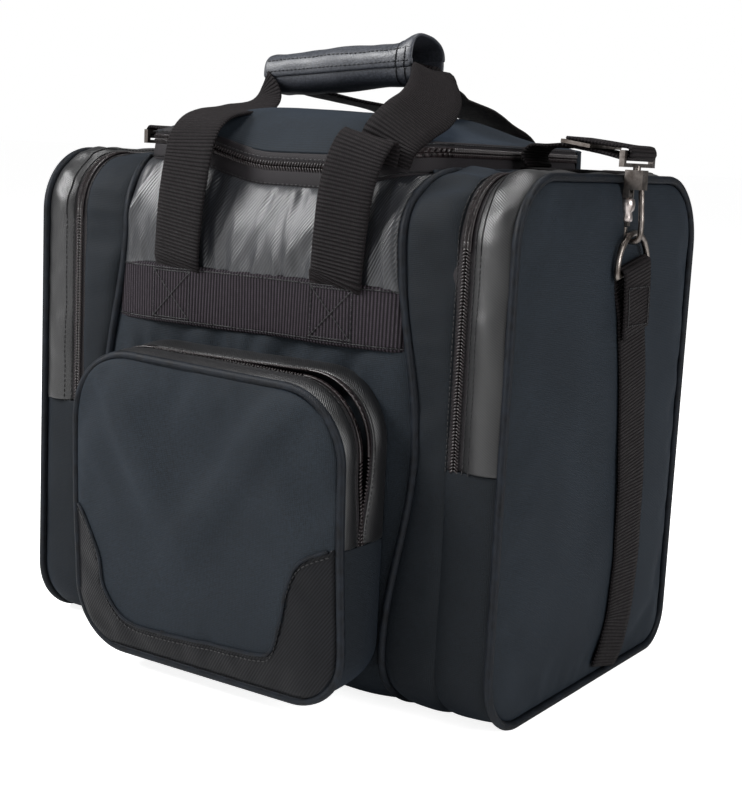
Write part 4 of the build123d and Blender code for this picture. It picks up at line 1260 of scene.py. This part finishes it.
def grip_point(u, turn, grow=0.0):
    """Skin of the grip: u runs from left end to right, turn in degrees from the rear over the top."""
    x = GRIP_X0 + (GRIP_X1 - GRIP_X0) * u
    c, s = cos(radians(turn)), sin(radians(turn))
    wide = (19.5 * MM + grow) * (1 + 0.05 * sin(pi * u))
    tall = 13.2 * MM + grow + 1.2 * MM * smooth((u - 0.8) / 0.2)
    y = GRIP_Y + wide * (abs(c) ** 0.62) * (1 if c > 0 else -1)
    z = 0.3900 + 9 * MM * (u - 0.5) + tall * (abs(s) ** 0.72) * (1 if s > 0 else -1)
    folds = wobble(x, y, z, 16 * MM, 19) * 0.9 * MM + wobble(x, y * 0.5, z, 38 * MM, 23) * 1.2 * MM
    return Vector((x, y + folds * c, z + folds * s))


def grip_sheet(name, turn0, turn1, piece, body, grow, flare):
    rows, columns = 34, 26

    def at(i, j):
        u, t = i / rows, j / columns
        point = grip_point(u, turn0 + (turn1 - turn0) * t, grow)
        point.z += flare * smooth((u - 0.88) / 0.12) * bump_at(t, 0.62, 0.2)
        return point, (u * (GRIP_X1 - GRIP_X0), t * 60 * MM)

    obj = sheet(name, rows + 1, columns + 1, at, "leather", (0, GRIP_Y, 0.3865))
    settle(obj, body, [piece], thick=2.2 * MM, smoothing=1)


def grip():
    """Leathercloth sleeve and its top flap, with stitch rows along the edge and round the right end."""
    grip_sheet("grip_sleeve", 172, 368, "grip_wrap", "front_handle", 0.0, 0.0)
    grip_sheet("grip_top_flap", 4, 186, "grip_flap", "grip_flap", 1.2 * MM, 4 * MM)

    def sew(name, places, ups, body, grow):
        points = np.array([grip_point(u, turn, grow * MM) for u, turn in places])
        stitches(name, points, np.array(ups), body, "grey_thread", lift=0.0)

    for label, turn, rise in (("upper", 150, 0.4), ("lower", 178, 0)):
        places = [(u, turn) for u in np.linspace(0.03, 0.97, 60)]
        sew(f"grip_{label}_row", places, [(0, -1, rise)] * 60, "grip_flap", 1.5)
    for label, u in (("a", 0.90), ("b", 0.955)):
        for part, turns, body, grow in (("top", (20, 184), "grip_flap", 1.5),
                                        ("low", (190, 350), "front_handle", 0.3)):
            angles = np.linspace(*turns, 30)
            ups = [(0, cos(radians(turn)), sin(radians(turn))) for turn in angles]
            sew(f"grip_{part}_{label}", [(u, turn) for turn in angles], ups, body, grow)


# ------------------------------------------------------------------ side webbing, hooks and shoulder strap

STRAP_Y = (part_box("right_strap_end")[0].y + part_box("right_strap_end")[1].y) / 2
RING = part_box("right_d_ring")
WEB_FOOT_Y = (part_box("side_webbings")[0].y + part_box("side_webbings")[1].y) / 2
WEB_LEAN = radians(12)
RING_REACH = 118 * MM
RING_BAR = Vector(((RING[0].x + RING[1].x) / 2, WEB_FOOT_Y - RING_REACH * sin(WEB_LEAN),
                   FOLD_Z + RING_REACH * cos(WEB_LEAN)))
TAIL_RISE = radians(8)
LAYER = 2.5 * MM
EYE_BAR = Vector((RING_BAR.x, STRAP_Y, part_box("right_hook_swivel")[1].z - 1.6 * MM))

# Middle of the side webbing, which bows back over the shoe pod, as (z, y) in millimetres
WEB_BOW = np.array([(0, 28), (8, 28), (43, 37), (83, 39), (137, 36), (177, 30), (220, 21), (254, 14),
                    (274, 9.5), (300, 4)]) * MM


def web_line(z):
    return float(np.interp(z, WEB_BOW[:, 0], WEB_BOW[:, 1]))


def side_strap(side, sign, panel):
    """Webbing up the end of the pod, over the ring's bar and sewn down on itself."""
    cover = side + "_pod_cover"
    tree = skin_of(panel)
    lean_side = (0, cos(WEB_LEAN), sin(WEB_LEAN))
    loop_r = 3.6 * MM
    stations = []
    for z in np.arange(8, 250, 8) * MM:
        y = web_line(z)
        slope = (web_line(z + 12 * MM) - web_line(z - 12 * MM)) / (24 * MM)
        hits = [on_skin(tree, (sign * 0.3, y + dy, z), (-sign, 0, 0), (sign * PANEL_X, y, z))[0].x
                for dy in (-17 * MM, 0, 17 * MM)]
        stations.append(((sign * (max(abs(x) for x in hits) + 1.5 * MM), y, z), (0, 1, -slope)))
    top_x = max(abs(station[0][0]) for station in stations[-3:])

    def looped(angle):
        c, up = loop_r * cos(radians(angle)), loop_r * sin(radians(angle))
        return ((sign * (RING_BAR.x + c), RING_BAR.y - up * sin(WEB_LEAN), RING_BAR.z + up * cos(WEB_LEAN)),
                lean_side)

    def beside(x, z):
        return ((sign * x, RING_BAR.y + (RING_BAR.z - z) * sin(WEB_LEAN), z), lean_side)

    stations.append(beside(RING_BAR.x - loop_r - 0.2 * MM, RING_BAR.z - 8 * MM))
    stations += [looped(angle) for angle in (190, 135, 90, 45, -10)]
    stations += [beside(top_x + 4.0 * MM, 0.252), beside(top_x + 2.6 * MM, 0.233)]
    strap = settle(ribbon(side + "_side_strap", stations, step=2 * MM), "bag",
                   ["side_webbings", side + "_ring_webbing"], blend_to=fold_at(cover, FOLD_Z))
    half, z0, z1 = WEB_WIDTH / 2 - 4 * MM, 0.238, 0.262
    box = resample(np.array([(-half, z0), (half, z0), (half, z1), (-half, z1), (-half, z0)]), 3 * MM)
    starts = [(sign * 0.3, y + web_line(z), z) for y, z in box]
    seam(side + "_side_box", skin_of(strap), starts, (-sign, 0, 0), 0.11, cover)


def strap_end(side, sign):
    """The strap's end: through the swivel's eye and back on itself. The right tail climbs to the slide."""
    rise = TAIL_RISE if side == "right" else 0.0
    gap = 3.8 * MM

    def at(x, dz):
        dx = x - EYE_BAR.x
        return ((sign * (EYE_BAR.x + dx * cos(rise) + dz * sin(rise)), STRAP_Y,
                 EYE_BAR.z - dx * sin(rise) + dz * cos(rise)), (0, 1, 0))

    line = [(0.148, -LAYER), (0.170, -LAYER), (0.182, -LAYER - 0.4 * MM), (EYE_BAR.x, -gap + 0.2 * MM)]
    for angle in (-50, 0, 50):
        line.append((EYE_BAR.x + 3.6 * MM * cos(radians(angle)), 3.6 * MM * sin(radians(angle))))
    line += [(EYE_BAR.x, gap), (0.182, LAYER + 0.4 * MM), (0.165, LAYER), (0.151, LAYER - 0.5 * MM)]
    strap = ribbon(side + "_strap_loop", [at(x, dz) for x, dz in line], step=2 * MM)
    settle(strap, side + "_pod_cover", [side + "_strap_end"])


def shoulder_strap(side, sign):
    """Each end folds under itself on top of the pod, runs to the back and hangs down behind the bag."""
    cover = side + "_pod_cover"
    tail = EYE_BAR.z - LAYER + (6 * MM if side == "right" else 0)
    lane = EYE_BAR.z - 12.5 * MM
    wide = WEB_WIDTH - 3 * MM
    turn = [(0.1485, tail), (0.138, tail - 1 * MM), (0.126, tail - 1.6 * MM), (0.1212, (tail + lane) / 2),
            (0.1245, lane + 1.8 * MM)]
    fold = [((sign * x, STRAP_Y, z), (0, 1, 0)) for x, z in turn]
    settle(ribbon(side + "_shoulder_fold", fold, width=wide, step=2 * MM), cover)
    line = [
        (0.138, STRAP_Y - 17 * MM, lane, -1, 0), (0.138, 0.034, lane, -1, 0),
        (0.137, 0.062, lane - 0.5 * MM, -1, 0), (0.137, 0.094, lane - 1 * MM, -1, 0),
        (0.138, 0.119, 0.330, -1, 0), (0.136, 0.134, 0.312, -1, 0), (0.126, 0.137, 0.270, -0.95, 0.25),
        (0.080, 0.139, 0.215, -0.7, 0.7), (0.030, 0.1405, 0.192, -0.15, 1), (0, 0.1405, 0.1895, 0, 1),
    ]
    stations = [((sign * x, y, z), (a, 0, c * sign)) for x, y, z, a, c in line]
    strap = ribbon(side + "_shoulder_strap", stations, width=wide)
    drape = (cover, (sign * 0.138, 0.125, 0.34), (sign * 0.142, 0.030, 0.34))
    settle(strap, "bag", ["shoulder_strap"], blend_to=drape)


def gate_sleeve(side):
    """Fat thumb-piece turned over the hook's gate. Its profile is (share of its height, radius in mm)."""
    low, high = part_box(side + "_hook_gate")
    centre = (low + high) / 2
    profile = [(0.0, 1.6), (0.06, 3.4), (0.2, 3.8), (0.4, 3.0),
               (0.5, 4.2), (0.72, 4.8), (0.9, 4.0), (1.0, 2.0)]
    sides = 16

    def at(i, j):
        along, radius = profile[i]
        z = low.z + 2 * MM + (high.z - low.z - 5 * MM) * along
        angle = 2 * pi * (j % sides) / sides
        return ((centre.x + radius * MM * cos(angle), centre.y + radius * MM * sin(angle), z),
                (radius * MM * angle, z))

    # The sleeve takes the lighter metal copy, partly a painted highlight.
    sleeve = sheet(side + "_gate_sleeve", len(profile), sides + 1, at, "nickel", tuple(centre))
    settle(sleeve, side + "_gate", thick=0.4 * MM)


def hardware():
    """Finishes of the hard pieces, which keep their CAD shapes."""
    for side, _ in SIDES:
        for node in ("d_ring", "snap_hook", "hook_gate", "hook_swivel"):
            bevel_cad(f"{side}_{node}", "metal")
        gate_sleeve(side)
        for node in ("pod_slider", "pod_pull"):
            bevel_cad(f"{side}_{node}", "slider")
    bevel_cad("strap_adjuster", "metal")
    bevel_cad("base_board", "board")
    for node in ("lid_slider", "lid_pull", "pocket_slider", "pocket_pull"):
        bevel_cad(node, "slider")


# ------------------------------------------------------------------ inside

def cradle():
    """Foam cradle with a bowl for the ball."""
    lo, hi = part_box("ball_cradle")
    n, m = 48, 50

    def at(i, j):
        x, y = lo.x + (hi.x - lo.x) * i / n, lo.y + (hi.y - lo.y) * j / m
        far = sqrt(x ** 2 + (y - (lo.y + hi.y) / 2) ** 2)
        bowl = smooth((52 * MM - far) / (10 * MM)) * 26 * MM
        rim = min(i, n - i, j, m - j)
        soft = (2.5 * MM, 0.8 * MM)[rim] if rim < 2 else 0
        return (x, y, hi.z - 0.5 * MM - bowl - soft), (x, y)

    top = sheet("cradle_foam", n + 1, m + 1, at, "foam", (0, 0, 0))
    settle(top, "bag", ["ball_cradle"], thick=7 * MM)


def divider(side, sign):
    """Lined wall between the ball and one shoe pod."""
    low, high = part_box("dividers")
    rows, columns = 60, 50

    def at(i, j):
        z = low.z + (high.z - low.z) * i / (rows - 1)
        y = low.y + (high.y - low.y) * j / (columns - 1)
        half = HALF_DEPTH - 4 * MM - wall_lean(z)
        if z < FOOT_FRONT_R:
            half -= FOOT_FRONT_R - sqrt(max(FOOT_FRONT_R ** 2 - (FOOT_FRONT_R - z) ** 2, 0))
        bulge = wobble(0, y, z, 60 * MM, 7 + sign) * 0.8 * MM
        return (sign * (high.x - 1.4 * MM + bulge), y / high.y * half, z), (y, z)

    wall = sheet(side + "_divider", rows, columns, at, "lining", (sign * 0.3, 0, 0.15))
    settle(wall, "bag", ["dividers"], thick=2 * MM)


# ------------------------------------------------------------------ stage, light and camera

def seen_by_camera(tree, socket, seen, otherwise):
    """Give a socket one value for what the camera sees and another for the light it casts."""
    path = tree.nodes.new("ShaderNodeLightPath")
    pick = tree.nodes.new("ShaderNodeMapRange")
    pick.inputs["To Min"].default_value = otherwise
    pick.inputs["To Max"].default_value = seen
    tree.links.new(path.outputs["Is Camera Ray"], pick.inputs["Value"])
    tree.links.new(pick.outputs["Result"], socket)


def stage():
    """White floor and background, with soft key, fill, top and front lights."""
    scene = bpy.context.scene
    scene.world = scene.world or bpy.data.worlds.new("studio")
    scene.world.use_nodes = True
    background = scene.world.node_tree.nodes["Background"]
    background.inputs["Color"].default_value = (1, 1, 1, 1)
    seen_by_camera(scene.world.node_tree, background.inputs["Strength"], 1.0, 0.16)
    scene.view_settings.view_transform = "Standard"

    paper = Nodes("paper")
    speckle = paper.grain(8 * MM, 2.0)
    paper.bump(speckle, 0.02 * MM, 0.1)
    paper.finish(paper.blend(speckle, (0.78, 0.78, 0.78, 1), (0.82, 0.82, 0.82, 1)), 0.6, 0.2)
    paper.shader.inputs["Emission Color"].default_value = (1, 1, 1, 1)
    seen_by_camera(paper.tree, paper.shader.inputs["Emission Strength"], 0.86, 0.0)
    mesh = bpy.data.meshes.new("paper_floor")
    reach = 60.0
    corners = [(-reach, -reach, 0), (reach, -reach, 0), (reach, reach, 0), (-reach, reach, 0)]
    mesh.from_pydata(corners, [], [(0, 1, 2, 3)])
    mesh.materials.append(paper.material)
    props = [bpy.data.objects.new("paper_floor", mesh)]

    for name, place, size, power in (("key", (-1.2, -1.15, 1.35), 0.7, 56),
                                     ("fill", (2.3, -0.5, 1.1), 1.5, 44),
                                     ("top", (0.0, 0.1, 2.2), 0.9, 26),
                                     ("front", (-0.3, -2.6, 0.6), 1.4, 10)):
        data = bpy.data.lights.new(name, "AREA")
        data.shape, data.size, data.energy = "SQUARE", size, power
        lamp = bpy.data.objects.new(name, data)
        lamp.location = place
        lamp.rotation_euler = (Vector((0, 0, 0.18)) - Vector(place)).to_track_quat("-Z", "Y").to_euler()
        props.append(lamp)
    for prop in props:
        scene.collection.objects.link(prop)


VIEW_TURN, VIEW_TILT, VIEW_ROLL = radians(33.66), radians(9.56), radians(2.83)
EYE_POINT = Vector((569.8, -843.6, 337.3)) * MM


def camera():
    """Camera at the viewing angle of the reference: a little above, off the right front corner."""
    back = Vector((sin(VIEW_TURN) * cos(VIEW_TILT), -cos(VIEW_TURN) * cos(VIEW_TILT), sin(VIEW_TILT)))
    right = Vector((cos(VIEW_TURN), sin(VIEW_TURN), 0))
    up = back.cross(right)
    rolled_right = right * cos(VIEW_ROLL) + up * sin(VIEW_ROLL)
    rolled_up = up * cos(VIEW_ROLL) - right * sin(VIEW_ROLL)
    data = bpy.data.cameras.new("view")
    data.lens = 66.3
    data.sensor_width = 36
    obj = bpy.data.objects.new("view", data)
    turn = Matrix((rolled_right, rolled_up, back)).transposed()
    obj.matrix_world = Matrix.Translation(EYE_POINT) @ turn.to_4x4()
    bpy.context.scene.collection.objects.link(obj)
    bpy.context.scene.camera = obj


SIDE_PANELS = {side: pod(side, sign) for side, sign in SIDES}
ball_compartment()
yoke()
lid_zip()
lid()
pocket_contour(pocket())
bands()
handles()
grip()
for each, each_sign in SIDES:
    side_strap(each, each_sign, SIDE_PANELS[each])
    strap_end(each, each_sign)
    shoulder_strap(each, each_sign)
    divider(each, each_sign)
cradle()
hardware()
stage()
camera()
